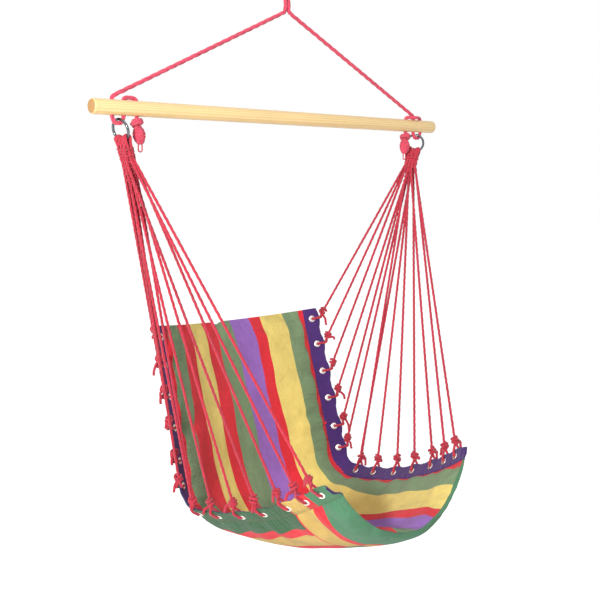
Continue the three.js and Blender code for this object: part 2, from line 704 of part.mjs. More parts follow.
Object.entries(sides).forEach(([sideName, side]) => {
  addPiece(`${sideName}_suspension_rope`, suspensionRope(sideName), 'rope');
  addPiece(`${sideName}_stopper_knot`, stopperKnot(side), 'rope');
  addPiece(`${sideName}_ring`, steelRing(sideName), 'steel');
  addPiece(`${sideName}_cord_binding`, cordBinding(sideName), 'rope');
  addPiece(`${sideName}_edge_band`, edgeBand(side), 'purple');
  cordPlan.forEach((plan, i) => {
    addPiece(`${sideName}_cord_${i + 1}`, doubledCord(sideName, plan), 'rope');
  });
  eyeletPlaces.forEach((v, i) => {
    const part = i < backEyelets ? 'back' : 'seat';
    const number = i < backEyelets ? i + 1 : i - backEyelets + 1;
    addPiece(`${sideName}_${part}_eyelet_${number}`, eyeletAt(v, side), 'nickel');
  });
});

export default chair;
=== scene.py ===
import math

import bmesh
import bpy
import numpy as np
from bpy.props import FloatProperty, FloatVectorProperty, IntProperty, PointerProperty
from mathutils import Matrix, Vector, noise


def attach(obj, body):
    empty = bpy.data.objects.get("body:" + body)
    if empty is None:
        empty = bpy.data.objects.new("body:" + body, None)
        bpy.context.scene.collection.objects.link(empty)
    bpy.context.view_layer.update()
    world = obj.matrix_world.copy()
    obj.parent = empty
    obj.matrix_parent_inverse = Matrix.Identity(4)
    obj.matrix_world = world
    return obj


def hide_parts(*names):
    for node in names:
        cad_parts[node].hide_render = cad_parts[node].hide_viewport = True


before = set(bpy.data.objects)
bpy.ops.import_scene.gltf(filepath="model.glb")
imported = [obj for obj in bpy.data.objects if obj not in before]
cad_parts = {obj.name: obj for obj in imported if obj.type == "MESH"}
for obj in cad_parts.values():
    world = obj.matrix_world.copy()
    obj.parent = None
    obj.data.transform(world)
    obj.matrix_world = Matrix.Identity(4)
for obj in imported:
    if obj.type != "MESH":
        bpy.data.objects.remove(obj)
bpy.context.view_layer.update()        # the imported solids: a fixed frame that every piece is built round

bl_info = {
    "name": "Hammock Chair",
    "version": (1, 0, 0),
    "blender": (4, 5, 0),
    "location": "3D View > Sidebar > Hammock Chair",
    "description": "Ropes, cords, cloth, wood and steel of a hammock chair, built round its packed frame",
    "category": "Object",
}

SIDES = {"left": -1, "right": 1}

# Turn from point to point of a rounded corner, and of a coil
CORNER_STEP, COIL_STEP = math.radians(10), math.radians(24)

# Points round turned shapes
TURNED_SIDES, DRILL_SIDES, EYELET_SIDES, STITCH_SIDES = 96, 48, 36, 6

# Spreader bar and its rope holes
BAR_Z, BAR_HALF, BAR_RADIUS, BAR_END_ROUND = -0.350, 0.500, 0.015, 0.004
BAR_UNDER_Z = BAR_Z - BAR_RADIUS
HOLE_RADIUS, DRILL_LENGTH = 0.0051, 0.05
OUTER_HOLE_X, MIDDLE_HOLE_X, TAIL_HOLE_X = 0.454, 0.428, 0.398

# Hanging loop, its knot and the ropes below it
KNOT_Z, APEX_Z = -0.067, -0.122
KNOT_HALF = 0.0113
NECK_X = 0.00465
LOOP_RADIUS, LOOP_SHOULDER_Z = 0.0155, -0.0355
HEART_DIAMETER, HEART_LAY, HEART_REACH = 0.0078, 0.026, 0.0062
COLLAR_DIAMETER, COLLAR_LAY, COLLAR_RADIUS = 0.0085, 0.027, 0.0163
COLLAR_LAP, COLLAR_WAVE, COLLAR_FALL = 0.5, 0.0017, 0.0008
ROPE_BEND, ROPE_HUMP, LEG_ASIDE, ROPE_GAP = 0.011, 0.0068, 0.011, 0.0002

# Holes that the rope of a side takes, down and up, and how its leg bends into the first
ROPE_RUNS = {
    "left": {"down": OUTER_HOLE_X, "up": MIDDLE_HOLE_X, "rise": 0.0058, "bend": 0.008},
    "right": {"down": MIDDLE_HOLE_X, "up": OUTER_HOLE_X, "rise": 0.009, "bend": 0.011},
}

# Stopper knots: how far down the head, the body and the end loop are, and how each knot leans
HEAD_DROP, BODY_DROP, END_LOOP_DROP = 0.0115, 0.0350, 0.0510
STOPPER_LEANS = {"left": 0.0075, "right": 0.002}
EGG_STRANDS = 7

# Coils in the knots: radius, swell, height and turns
HEART_COIL = (0.0030, 0.0036, 0.0135, 2.6)
HEAD_COIL = (0.0092, 0.0, 0.0085, 1.8)
EGG_COIL = (0.0026, 0.0072, 0.033, 0.7)

# End loop of a stopper's tail: place aside and height at each point
END_LOOP = ((-0.0038, 0.004), (-0.0044, -0.006), (-0.0046, -0.0130), (-0.0034, -0.0158), (0.0, -0.0168),
            (0.0034, -0.0158), (0.0046, -0.0130), (0.0044, -0.006), (0.0038, 0.004))

# Rings and the bundles of cords that hang on them
RING_X, RING_TOP_Z = 0.441, -0.37175
RING_RADIUS, WIRE_RADIUS = 0.02125, 0.00275
HITCH_BOTTOM_Z = -0.3798
PULL_ANGLE = math.radians(16)
RING_TURNS = {"left": math.radians(6), "right": math.radians(-34)}
CORD_PITCH, CORD_SPREAD = 0.0061, 0.4
BUNDLE_START, BUNDLE_LENGTH = 0.05725, 0.074
CROSSING_STEP = math.radians(31)

# Knots that tie the cords: how far each stands off, its coil's radius, swell, height and turns
KNOT_STAND_OFF, CORD_LIFT = 0.022, 0.00645
COIL_RADIUS, COIL_SWELL, COIL_HEIGHT, COIL_TURNS = 0.0052, 0.0024, 0.0150, 2.3

# Weave of a bundle: its pitch, and half its width at shares of its length, in four steps
WEFT_DIAMETER, WEFT_LAY, WEFT_PITCH = 0.0048, 0.030, 0.0060
WEFT_TOP, WEFT_INDENT, WEFT_OUT, WEFT_OVER = 0.011, 0.0034, 0.0074, 0.0050
WEFT_POINTS = 13
WEFT_SHARES = (0, 0.25, 0.27, 0.45, 0.47, 0.69, 0.71, 1)
WEFT_WIDTHS = (0.0150, 0.0136, 0.0112, 0.0104, 0.0078, 0.0070, 0.0048, 0.0042)

# Each cord: the eyelets of its two legs, its place on the ring, its layer, the share of the
# bundle that it stays in
CORDS = (
    (0, 1, 1.5, 0, 0.27), (2, 3, 1.0, 1, 0.46), (4, 5, 0.5, 0, 0.7), (6, 6, 0.0, 1, 1.0),
    (8, 7, -0.5, 0, 0.7), (10, 9, -1.0, 1, 0.46), (12, 11, -1.5, 0, 0.27),
)

# Sling: a straight back, a tight corner and a seat that rises to its front edge
BACK_LENGTH, BACK_LEAN = 0.360, math.radians(16)
BACK_TOP_Y, BACK_TOP_Z = 0.158, BAR_Z - 0.454
CORNER_RADIUS = 0.045
SEAT_LENGTH = 0.380
SEAT_START, SEAT_END = math.radians(5), math.radians(34)
HALF_WIDTH_TOP, HALF_WIDTH_CORNER, HALF_WIDTH_FRONT = 0.250, 0.258, 0.213
SAG_TOP, SAG_CORNER, SAG_FRONT = 0.056, 0.098, 0.134
CORNER_TURN = math.pi / 2 - BACK_LEAN + SEAT_START
CORNER_RUN = CORNER_RADIUS * CORNER_TURN
SLING_LENGTH = BACK_LENGTH + CORNER_RUN + SEAT_LENGTH
SEAT_RADIUS = SEAT_LENGTH / (SEAT_END - SEAT_START)

# Edge bands, their stitches and their eyelets
BAND_WIDTH, BAND_HALF, BAND_PLY, BAND_FOLD, BAND_SHELF = 0.040, 0.0021, 0.0009, 0.0015, 0.04045
BAND_FLAT_WIDTH, BAND_ROWS, FACE_COLUMNS = 0.084, 321, 17
BAND_CURL, BAND_CURL_RUN = 0.011, 0.014

# A band's edge between its eyelets: how far a cord's pull reaches, and fine and broad ripples
PULL_RUN, PULL_OUT, PULL_LOSS, PULL_INSET = 0.024, 0.0014, 0.0050, 0.018
FINE_WAVE, FINE_HEIGHT, BROAD_WAVE, BROAD_HEIGHT = 0.0068, 0.00035, 0.031, 0.0006

# Rows of stitches on the bands, and the bands' eyelets
INNER_STITCHES, OUTER_STITCHES = (0.0375,), (0.0335, 0.0375)
STITCH_STEP, STITCH_CLEAR, STITCH_PAST = 0.0042, 0.0095, 0.011
EYELET_INSET, EYELET_CLEAR, EYELET_CUT = 0.019, 0.0085, 0.0052
BACK_EYELETS = (0.0726, 0.2542, 0.4494, 0.6424, 0.8467, 1.0)
SEAT_EYELETS = (0.0, 0.157, 0.341, 0.506, 0.677, 0.802, 0.909)
BACK_EYELET_RUN = BACK_LENGTH + 0.03 * CORNER_RUN - EYELET_CLEAR
SEAT_EYELET_START = BACK_LENGTH + 0.87 * CORNER_RUN + EYELET_CLEAR
SEAT_EYELET_RUN = SLING_LENGTH - SEAT_EYELET_START
EYELET_PLACES = np.array([share * BACK_EYELET_RUN for share in BACK_EYELETS]
                         + [SEAT_EYELET_START + share * SEAT_EYELET_RUN for share in SEAT_EYELETS])

# Upper half of an eyelet's profile, and of a stitch's: radius and height
EYELET_PROFILE = ((0.0045, 0.0), (0.0045, 0.0024), (0.0047, 0.0030), (0.0053, 0.0033), (0.0062, 0.0033),
                  (0.0073, 0.0030), (0.0080, 0.0025), (0.0082, 0.0022), (0.0080, 0.0021), (0.0070, 0.0023),
                  (0.0058, 0.0022), (0.0057, 0.0))
STITCH_PROFILE = ((0.0, 0.0016), (0.00022, 0.00145), (0.00036, 0.0008), (0.0004, 0.0))

# Padded panel
PAD_ROWS, PAD_COLUMNS = 101, 74
PAD_OVER, PAD_UNDER = 0.0125, 0.0060
PAD_RIM_HALF, PAD_RIM_INSET = 0.0009, 0.0335
PAD_CROWN_RUN, PAD_TOP_RUN, PAD_FRONT_RUN = 0.060, 0.050, 0.026
PAD_SEAM, PAD_END = 0.0025, 0.014
PAD_END_ROWS = (0.0, 0.0012, 0.003, 0.006, 0.0095)
NOTCH_DEPTH, NOTCH_ACROSS, NOTCH_HALF, NOTCH_RUN = 0.007, 0.42, 0.022, 0.03
SWELL_FRAMES = 20
FRONT_HOLLOW, FRONT_DROP, FRONT_HOLLOW_RUN = 0.034, 0.007, 0.210

# Printed stripes: their lean and wander, and where the crosswise ones begin on the under cover
STRIPE_LEAN, STRIPE_WANDER, UNDER_CROSS_FROM = 0.088, 0.03, 0.847

# Tucks that the cords pull into the pad: place down and across, half length, half width, depth
PAD_TUCKS = (
    (0.262, 0.93, 0.010, 0.09, -2.6), (0.285, 0.90, 0.012, 0.09, 1.5), (0.150, 0.95, 0.012, 0.06, -1.1),
    (0.235, 0.06, 0.011, 0.08, -2.2), (0.120, 0.05, 0.012, 0.06, -1.0), (0.395, 0.88, 0.016, 0.09, 1.4),
    (0.400, 0.12, 0.016, 0.09, 1.3), (0.370, 0.50, 0.020, 0.30, 1.0), (0.020, 0.42, 0.020, 0.03, -1.6),
    (0.560, 0.93, 0.013, 0.06, -1.3), (0.600, 0.07, 0.013, 0.06, -1.3), (0.700, 0.92, 0.015, 0.06, -1.1),
    (0.690, 0.40, 0.050, 0.05, 0.9), (0.640, 0.66, 0.060, 0.05, 0.8), (0.090, 0.70, 0.060, 0.05, 0.8),
)

# The photograph's camera, the floor and the lamps
CAMERA_PLACE = (-1.5741, -1.6936, -0.4963)
CAMERA_YAW, CAMERA_PITCH, CAMERA_ROLL = 0.761715, -0.110400, 0.002329
CAMERA_FOCAL = 62.21
FLOOR_Z, FLOOR_REACH, FLOOR_GLOW = -1.75, 14.0, 0.72
LAMP_AIM = (0, 0, -0.8)
KEY_PLACE, KEY_SIZE = (-3.1, -2.0, -0.1), 0.4
FILL_PLACE, FILL_SIZE = (-0.5, -0.9, 1.6), 1.4
WHITE = (1, 1, 1, 1)


# Settings


def linear_color(red, green, blue):
    """A colour as a screen shows it, turned into the linear values of a shader."""
    def one(value):
        share = value / 255
        return share / 12.92 if share <= 0.04045 else ((share + 0.055) / 1.055) ** 2.4
    return (one(red), one(green), one(blue), 1.0)


def color_setting(name, description, *rgb):
    return FloatVectorProperty(name=name, description=description, subtype="COLOR", size=4,
                               min=0, max=1, default=linear_color(*rgb))


def length_setting(name, description, default):
    return FloatProperty(name=name, description=description, default=default, min=0,
                         unit="LENGTH", precision=4)


def power_setting(name, description, default):
    return FloatProperty(name=name, description=description, default=default, min=0, unit="POWER")


class RopeSettings(bpy.types.PropertyGroup):
    rope_diameter: length_setting("Rope", "Thickness of the suspension rope", 0.009)
    rope_lay: length_setting("Rope lay", "Length of one full turn of the rope's strands", 0.066)
    cord_diameter: length_setting("Cord", "Thickness of the sling's cords", 0.0062)
    cord_lay: length_setting("Cord lay", "Length of one full turn of a cord's strands", 0.044)
    strands: IntProperty(name="Strands", description="Strands that are laid into a rope or cord",
                         default=3, min=2, max=6)
    tail: length_setting("Tail", "Loose end that stands out of each cord's knot", 0.029)
    # The rope's paler, pinker red is partly painted light, and the cords' darker red is partly painted shade
    color: color_setting("Rope colour", "Dyed yarn on the outside of the ropes", 250, 82, 112)
    cord_color: color_setting("Cord colour", "Dyed yarn on the outside of the cords", 222, 44, 72)
    # Painted shade: a dark maroon that stands in for the shade deep between the strands and yarns
    painted_groove_shade: color_setting("Groove", "Yarn deep between the strands", 104, 8, 22)


class WoodSettings(bpy.types.PropertyGroup):
    pale: color_setting("Pale wood", "Early wood between the growth lines", 250, 220, 160)
    grain: color_setting("Growth lines", "Late wood of the growth lines", 226, 178, 108)
    end: color_setting("End grain", "Open grain on the bar's ends", 172, 118, 66)


class MetalSettings(bpy.types.PropertyGroup):
    ring: color_setting("Rings", "Plated steel of the rings", 104, 107, 112)
    eyelet: color_setting("Eyelets", "Nickelled brass of the eyelets", 238, 233, 222)


class ClothSettings(bpy.types.PropertyGroup):
    red: color_setting("Red", "Red stripes", 238, 50, 62)
    yellow: color_setting("Yellow", "Yellow stripes", 250, 226, 128)
    under_yellow: color_setting("Under yellow", "Yellow stripes of the under cover", 224, 186, 102)
    green: color_setting("Green", "Grey-green stripes", 130, 156, 116)
    purple: color_setting("Purple", "Purple stripes", 164, 114, 202)
    hem: color_setting("Hem", "Green of the front hem and the crosswise stripe", 82, 136, 100)
    # Partly painted shade: the bands' purple is darkened all over to stand in for the shade on the seat's
    # bands
    band: color_setting("Bands", "Purple of the edge bands", 80, 48, 120)
    under: color_setting("Under green", "Dark green of the under cover", 62, 104, 68)
    weave: length_setting("Weave", "Distance from thread to thread", 0.0009)
    hem_width: length_setting("Hem width", "Width of the hem along the front edge", 0.006)
    wrinkle: length_setting("Wrinkles", "Height of the soft wrinkles in the pad", 0.0042)
    swell: length_setting("Swell", "Furthest that the filling pushes the cover out", 0.006)


class StudioSettings(bpy.types.PropertyGroup):
    key_power: power_setting("Key lamp", "Power of the lamp at the front", 126)
    fill_power: power_setting("Fill lamp", "Power of the wide lamp above", 14)
    sky: FloatProperty(name="Sky", description="Strength of the even light from all round",
                       default=0.38, min=0, max=2)
    floor: color_setting("Floor", "Colour of the floor", 242, 242, 242)


class ChairSettings(bpy.types.PropertyGroup):
    rope: PointerProperty(type=RopeSettings)
    wood: PointerProperty(type=WoodSettings)
    metal: PointerProperty(type=MetalSettings)
    cloth: PointerProperty(type=ClothSettings)
    studio: PointerProperty(type=StudioSettings)


def settings():
    return bpy.context.scene.hammock_chair


# Node trees


def arithmetic(operation, swapped=False):
    """A method of Value that adds the node for one step of arithmetic."""
    def method(value, other):
        first, second = (other, value) if swapped else (value, other)
        return value.build.math(operation, first, second)
    return method


class Value:
    """An output of a node, on which sums can be written as for numbers."""

    def __init__(self, build, socket):
        self.build, self.socket = build, socket

    __add__, __mul__, __pow__ = arithmetic("ADD"), arithmetic("MULTIPLY"), arithmetic("POWER")
    __sub__, __rsub__ = arithmetic("SUBTRACT"), arithmetic("SUBTRACT", swapped=True)
    __truediv__, __rtruediv__ = arithmetic("DIVIDE"), arithmetic("DIVIDE", swapped=True)


class TreeBuilder:
    """Adds nodes to one tree. An input is a plain value, or the Value that feeds it."""

    def __init__(self, tree):
        self.tree = tree

    def node(self, kind, inputs, **options):
        made = self.tree.nodes.new(kind)
        for key, value in options.items():
            setattr(made, key, value)
        for key, value in inputs.items():
            self.feed(made.inputs[key], value)
        return made

    def feed(self, socket, value):
        if isinstance(value, Value):
            self.tree.links.new(value.socket, socket)
        else:
            socket.default_value = value

    def outputs(self, kind, inputs, **options):
        return [Value(self, socket) for socket in self.node(kind, inputs, **options).outputs]

    def add(self, kind, inputs=None, output=0, **options):
        return Value(self, self.node(kind, inputs or {}, **options).outputs[output])

    def math(self, operation, a, b=0.0):
        return self.add("ShaderNodeMath", {0: a, 1: b}, operation=operation)

    def stretched(self, place, factors):
        return self.add("ShaderNodeVectorMath", {0: place, 1: factors}, operation="MULTIPLY")

    def mix(self, share, a, b, blend="MIX"):
        return self.add("ShaderNodeMix", {0: share, 6: a, 7: b}, 2, data_type="RGBA", blend_type=blend)

    def between(self, value, low, high, start=0.0, end=1.0):
        return self.add("ShaderNodeMapRange", {0: value, 1: low, 2: high, 3: start, 4: end})

    def noise(self, place, scale, detail=3.0, rough=0.55):
        return self.add("ShaderNodeTexNoise", {"Vector": place, "Scale": scale, "Detail": detail,
                                               "Roughness": rough})

    def split(self, place):
        return self.outputs("ShaderNodeSeparateXYZ", {0: place})

    def toned(self, color, tone):
        """A colour, made darker or paler by a tone round 1."""
        grey = self.add("ShaderNodeCombineXYZ", {0: tone, 1: tone, 2: tone})
        return self.mix(1.0, color, grey, "MULTIPLY")

    def place(self):
        return self.add("ShaderNodeTexCoord", output="Object")

    def cloth_map(self, name):
        return self.add("ShaderNodeUVMap", uv_map=name)

    def group(self, name, inputs):
        """A node group's outputs by name."""
        made = self.node("ShaderNodeGroup", inputs, node_tree=group_tree(name))
        return {socket.name: Value(self, socket) for socket in made.outputs}

    def patches(self, place, size, depth):
        return self.group("Uneven tone", {"Place": place, "Size": size, "Depth": depth})["Tone"]


def socket_kind(default):
    """The kind of socket that a default value belongs in. A word is a kind that has no default."""
    if isinstance(default, str):
        return default
    if isinstance(default, tuple):
        return "Vector" if len(default) == 3 else "Color"
    return "Int" if isinstance(default, int) else "Float"


def group_tree(name):
    """A node group, made at its first use."""
    found = bpy.data.node_groups.get(name)
    if found:
        return found
    kind, fill, inputs, outputs = GROUPS[name]
    tree = bpy.data.node_groups.new(name, kind)
    for way, sockets in (("INPUT", inputs), ("OUTPUT", outputs)):
        for title, default in sockets.items():
            socket = tree.interface.new_socket(title, in_out=way,
                                               socket_type="NodeSocket" + socket_kind(default))
            if not isinstance(default, str):
                socket.default_value = default
    build = TreeBuilder(tree)
    given = {socket.name: Value(build, socket) for socket in build.node("NodeGroupInput", {}).outputs[:-1]}
    build.node("NodeGroupOutput", dict(enumerate(fill(build, given))))
    return tree


def finished_geometry(build, geometry, material):
    real = build.add("GeometryNodeRealizeInstances", {0: geometry})
    smooth = build.add("GeometryNodeSetShadeSmooth", {0: real})
    return build.add("GeometryNodeSetMaterial", {"Geometry": smooth, "Material": material})


def kept_value(build, geometry, name, value):
    return build.add("GeometryNodeStoreNamedAttribute", {"Geometry": geometry, "Name": name, "Value": value},
                     data_type="FLOAT", domain="POINT")


def laid_rope(build, given):
    """Strands that wind round each route and so make a laid rope."""
    lines = build.add("GeometryNodeMeshToCurve", {"Mesh": given["Routes"]})
    even = build.add("GeometryNodeResampleCurve", {"Curve": lines, "Length": given["Step"]}, mode="LENGTH")
    copies, number = build.outputs("GeometryNodeDuplicateElements",
                                   {"Geometry": even, "Amount": given["Strands"]}, domain="SPLINE")
    length = build.add("GeometryNodeSplineParameter", output="Length")
    kept = kept_value(build, copies, "run", length)
    turns = length / given["Lay"] + number / given["Strands"]
    outward = build.add("ShaderNodeVectorRotate", {
        "Vector": build.add("GeometryNodeInputNormal"), "Axis": build.add("GeometryNodeInputTangent"),
        "Angle": turns * (2 * math.pi)}, rotation_type="AXIS_ANGLE")
    half = given["Diameter"] * 0.5
    wide = build.math("SINE", math.pi / given["Strands"])
    strand = half * (wide * given["Fullness"] / (wide + 1.0))
    offset = build.add("ShaderNodeVectorMath", {0: outward, "Scale": half - strand}, operation="SCALE")
    wound = build.add("GeometryNodeSetPosition", {"Geometry": kept, "Offset": offset})
    circle = build.add("GeometryNodeCurvePrimitiveCircle", {
        "Resolution": given["Sides"], "Radius": strand}, mode="RADIUS")
    around = kept_value(build, circle, "around", build.add("GeometryNodeSplineParameter", output="Factor"))
    strands = build.add("GeometryNodeCurveToMesh", {
        "Curve": wound, "Profile Curve": around, "Fill Caps": True})
    return [finished_geometry(build, strands, given["Finish"])]


def placed_copies(build, given):
    """One small shape, set on each point and turned to the point's facing and heading."""
    facing, heading = (build.add("GeometryNodeInputNamedAttribute", {"Name": title},
                                 data_type="FLOAT_VECTOR") for title in ("facing", "heading"))
    turn = build.add("FunctionNodeAxesToRotation", {0: facing, 1: heading},
                     primary_axis="Z", secondary_axis="X")
    shape = build.add("GeometryNodeObjectInfo", {"Object": given["Shape"]}, "Geometry",
                      transform_space="ORIGINAL")
    points = build.add("GeometryNodeMeshToPoints", {"Mesh": given["Points"]})
    copies = build.add("GeometryNodeInstanceOnPoints", {
        "Points": points, "Instance": shape, "Rotation": turn})
    return [finished_geometry(build, copies, given["Finish"])]


def plain_weave(build, given):
    """Threads that pass over and under each other, with painted shade where they dip. Place is in metres on
    the cloth.
    """
    place = given["Place"]
    across, along = (build.math("SINE", part / given["Pitch"] * math.pi) for part in build.split(place)[:2])
    over = build.math("GREATER_THAN", across * along, 0.0)
    tops = [build.math("ABSOLUTE", wave) ** 0.5 for wave in (across, along)]
    height = build.add("ShaderNodeMix", {0: over, 2: tops[0], 3: tops[1]})
    uneven = (build.noise(build.stretched(place, (60.0, 900.0, 1.0)), 1.0, 2.0)
              + build.noise(build.stretched(place, (900.0, 60.0, 1.0)), 1.0, 2.0))
    # Painted shade: the tone is darker where the threads dip; the uneven term is random tone
    tone = build.between(height, 0.0, 1.0, 0.84, 0.97) + build.between(uneven, 0.7, 1.3, -0.05, 0.06)
    return height + uneven * 0.6, tone


def strand_yarn(build, given):
    """Fine yarns that run slantwise along a strand. Their tone is darker in the hollows between the yarns, as
    painted shade, with random fuzz.
    """
    run, around = given["Run"], given["Around"]
    turn = around * given["Yarns"] + run * given["Slant"]
    ridge = build.math("ABSOLUTE", build.math("SINE", turn * math.pi))
    fuzz = build.noise(build.add("ShaderNodeCombineXYZ", {0: run * 700.0, 1: around * 9.0}), 1.0)
    # Painted shade: the tone falls to 0.8 in the hollows between the yarns; the fuzz adds random tone
    tone = build.between(ridge, 0.0, 0.7, 0.80, 1.0) + build.between(fuzz, 0.3, 0.7, -0.07, 0.07)
    return ridge * 0.8 + fuzz * 0.5, tone


def uneven_tone(build, given):
    """Soft patches of a little more and a little less colour, as of age, handling and dust."""
    patches = build.noise(given["Place"], 1.0 / given["Size"], 4.0, 0.6)
    return [(patches - 0.5) * (given["Depth"] * 4.0) + 1.0]


def stripes(build, place, stops):
    """Bands of plain colour: stops are (upper end, colour)."""
    ramp = build.node("ShaderNodeValToRGB", {0: place})
    ramp.color_ramp.interpolation = "CONSTANT"
    elements = ramp.color_ramp.elements
    begin = 0.0
    for number, (upper, color) in enumerate(stops):
        spot = elements[number] if number < 2 else elements.new(begin)
        spot.position = begin
        spot.color = color
        begin = upper
    return Value(build, ramp.outputs[0])


def striped_cloth(build, given):
    """Lengthwise stripes that lean a little in the low back, and crosswise ones near the front edge."""
    cloth, is_under = settings().cloth, given["Under"]
    red, yellow, green, purple, hem, under, ochre = (
        cloth.red, cloth.yellow, cloth.green, cloth.purple, cloth.hem, cloth.under, cloth.under_yellow)
    across, down, _ = build.split(given["Place"])
    drift = build.noise(build.stretched(given["Place"], (3.0, 7.0, 1.0)), 1.0, 1.0)
    inside = across * (1.0 - across) * 4.0
    low_back = build.between(down, 0.04, 0.45) * build.between(down, 0.66, 0.48)
    wander = (drift - 0.5) * STRIPE_WANDER
    bent = across + wander - low_back * inside * STRIPE_LEAN
    drawn = inside * is_under * build.between(down, 0.82, 0.92, 0.006, 0.044)
    cross = down + (drawn + wander * 0.4)
    top = stripes(build, bent, [
        (0.018, red), (0.098, green), (0.190, red), (0.302, yellow), (0.393, red), (0.515, green),
        (0.647, purple), (0.715, red), (0.865, yellow), (0.968, green), (1.0, red)])
    below = stripes(build, bent, [
        (0.082, under), (0.135, red), (0.270, ochre), (0.393, red), (0.515, under), (0.647, purple),
        (0.715, red), (0.865, ochre), (0.918, red), (1.0, under)])
    crosswise = stripes(build, cross, [(0.850, red), (0.905, ochre), (0.931, red), (1.0, hem)])
    past = build.math("GREATER_THAN", cross, given["Cross From"])
    return [build.mix(past, build.mix(is_under, top, below), crosswise)]


# Each node group: its kind, the function that fills it, its inputs and its outputs
GROUPS = {
    "Laid rope": ("GeometryNodeTree", laid_rope, {
        "Routes": "Geometry", "Diameter": 0.009, "Strands": 3, "Lay": 0.027, "Fullness": 1.22, "Step": 0.003,
        "Sides": 7, "Finish": "Material"}, {"Rope": "Geometry"}),
    "Placed copies": ("GeometryNodeTree", placed_copies, {
        "Points": "Geometry", "Shape": "Object", "Finish": "Material"}, {"Copies": "Geometry"}),
    "Plain weave": ("ShaderNodeTree", plain_weave, {"Place": (0, 0, 0), "Pitch": 0.0009},
                    {"Height": 0.0, "Tone": 1.0}),
    "Strand yarn": ("ShaderNodeTree", strand_yarn, {"Run": 0.0, "Around": 0.0, "Yarns": 7.0, "Slant": 90.0},
                    {"Height": 0.0, "Tone": 1.0}),
    "Uneven tone": ("ShaderNodeTree", uneven_tone, {"Place": (0, 0, 0), "Size": 0.1, "Depth": 0.1},
                    {"Tone": 1.0}),
    "Striped cloth": ("ShaderNodeTree", striped_cloth, {
        "Place": (0, 0, 0), "Cross From": 0.965, "Under": 0.0}, {"Color": WHITE}),
}


# Materials


def rope_look(build, outside, yarns, slant):
    """Dyed cotton: slanting yarns, with painted shade in the grooves between them, and loose fuzz."""
    run, around = (build.add("ShaderNodeAttribute", output="Fac", attribute_name=name)
                   for name in ("run", "around"))
    yarn = build.group("Strand yarn", {"Run": run, "Around": around, "Yarns": yarns, "Slant": slant})
    # Painted shade: the yarn's low parts take the dark groove colour
    color = build.mix(build.between(yarn["Height"], 0.1, 0.9), settings().rope.painted_groove_shade, outside)
    return {
        "Base Color": build.toned(color, yarn["Tone"] * build.patches(build.place(), 0.05, 0.12)),
        "Roughness": build.between(yarn["Height"], 0.0, 1.2, 0.95, 0.8),
        "Sheen Weight": 0.25, "Sheen Roughness": 0.5,
    }, yarn["Height"], 0.0005


def cloth_look(build, color, fade, gathered):
    """Weave with its painted shade, soft creases and faded patches over a cloth's own colour, and gathers at
    its seams.
    """
    on_cloth, place = build.cloth_map("ClothMap"), build.place()
    weave = build.group("Plain weave", {"Place": on_cloth, "Pitch": settings().cloth.weave})
    crease = build.noise(place, 55.0, 3.0, 0.5)
    gathers = build.noise(build.stretched(on_cloth, (14.0, 150.0, 1.0)), 1.0, 2.0)
    height = weave["Height"] * 0.22 + crease * 3.4 + gathers * (gathered * 5.0)
    return {
        "Base Color": build.toned(color, weave["Tone"] * build.patches(place, 0.06, fade)),
        "Roughness": build.between(weave["Height"], 0.0, 1.5, 0.98, 0.86),
        "Sheen Weight": 0.15, "Specular IOR Level": 0.25,
    }, height, 0.0013


def printed_look(build, cross_from, is_under, fade):
    """Printed canvas with the stripes in the piece's StripeMap and the weave in its ClothMap."""
    on_stripes = build.cloth_map("StripeMap")
    across = build.split(on_stripes)[0]
    to_seam = build.math("MINIMUM", across, 1.0 - across)
    color = build.group("Striped cloth", {"Place": on_stripes, "Cross From": cross_from, "Under": is_under})
    return cloth_look(build, color["Color"], fade, build.between(to_seam, 0.02, 0.13, 1.0, 0.0))


def thread_look(build, *rgb):
    """Sewing thread, with a fine twist."""
    twist = build.noise(build.place(), 900.0, 2.0)
    color = build.toned(linear_color(*rgb), build.between(twist, 0.3, 0.7, 0.8, 1.1))
    return {"Base Color": color, "Roughness": 0.8}, twist, 0.0002


def wood_look(build, wood):
    """Pale turned wood: long growth lines, fine pores, ends a little darker, with end grain."""
    place = build.place()
    along, aside, up = build.split(place)
    height = up + -BAR_Z
    waver = build.noise(build.stretched(place, (1.4, 9.0, 9.0)), 1.0, 2.0)
    depth = aside * 0.55 + (height + (waver - 0.5) * 0.016)
    late = build.math("FRACT", depth * 210.0) ** 2.4
    pores = build.noise(build.stretched(place, (22.0, 1500.0, 1500.0)), 1.0)
    patch = build.patches(build.stretched(place, (0.35, 1.0, 1.0)), 0.05, 0.05)
    long_grain = build.mix(late * 0.75, wood.pale, wood.grain)
    distance = build.math("SQRT", (height + 0.011) ** 2.0 + (aside + 0.006) ** 2.0)
    end_rings = build.math("FRACT", distance * 620.0)
    end_grain = build.mix(build.between(end_rings, 0.0, 1.0, 0.15, 0.9), wood.grain, wood.end)
    reach = build.math("ABSOLUTE", along)
    at_end = build.between(reach, BAR_HALF - 0.0012, BAR_HALF - 0.0002)
    # Darker over the last 12 mm towards each end
    darker_near_ends = build.between(reach, BAR_HALF - 0.012, BAR_HALF, 1.0, 0.93)
    tone = build.between(pores, 0.3, 0.7, 0.93, 1.04) * patch * darker_near_ends
    return {
        "Base Color": build.toned(build.mix(at_end, long_grain, end_grain), tone),
        "Roughness": build.between(pores, 0.3, 0.7, 0.5, 0.36),
        "Coat Weight": 0.12, "Coat Roughness": 0.3,
    }, pores + late * 0.4, 0.00022


def metal_look(build, color, rough_low, rough_high, scratch_depth):
    """Plated metal with fine scratches and cloudy patches."""
    place = build.place()
    scratches = build.noise(build.stretched(place, (260.0, 260.0, 1900.0)), 1.0)
    return {
        "Base Color": build.toned(color, build.patches(place, 0.012, 0.08)),
        "Roughness": build.between(scratches, 0.35, 0.7, rough_low, rough_high), "Metallic": 1.0,
    }, scratches, scratch_depth


def new_material(name):
    material = bpy.data.materials.new(name)
    material.use_nodes = True
    material.node_tree.nodes.clear()
    return material, TreeBuilder(material.node_tree)


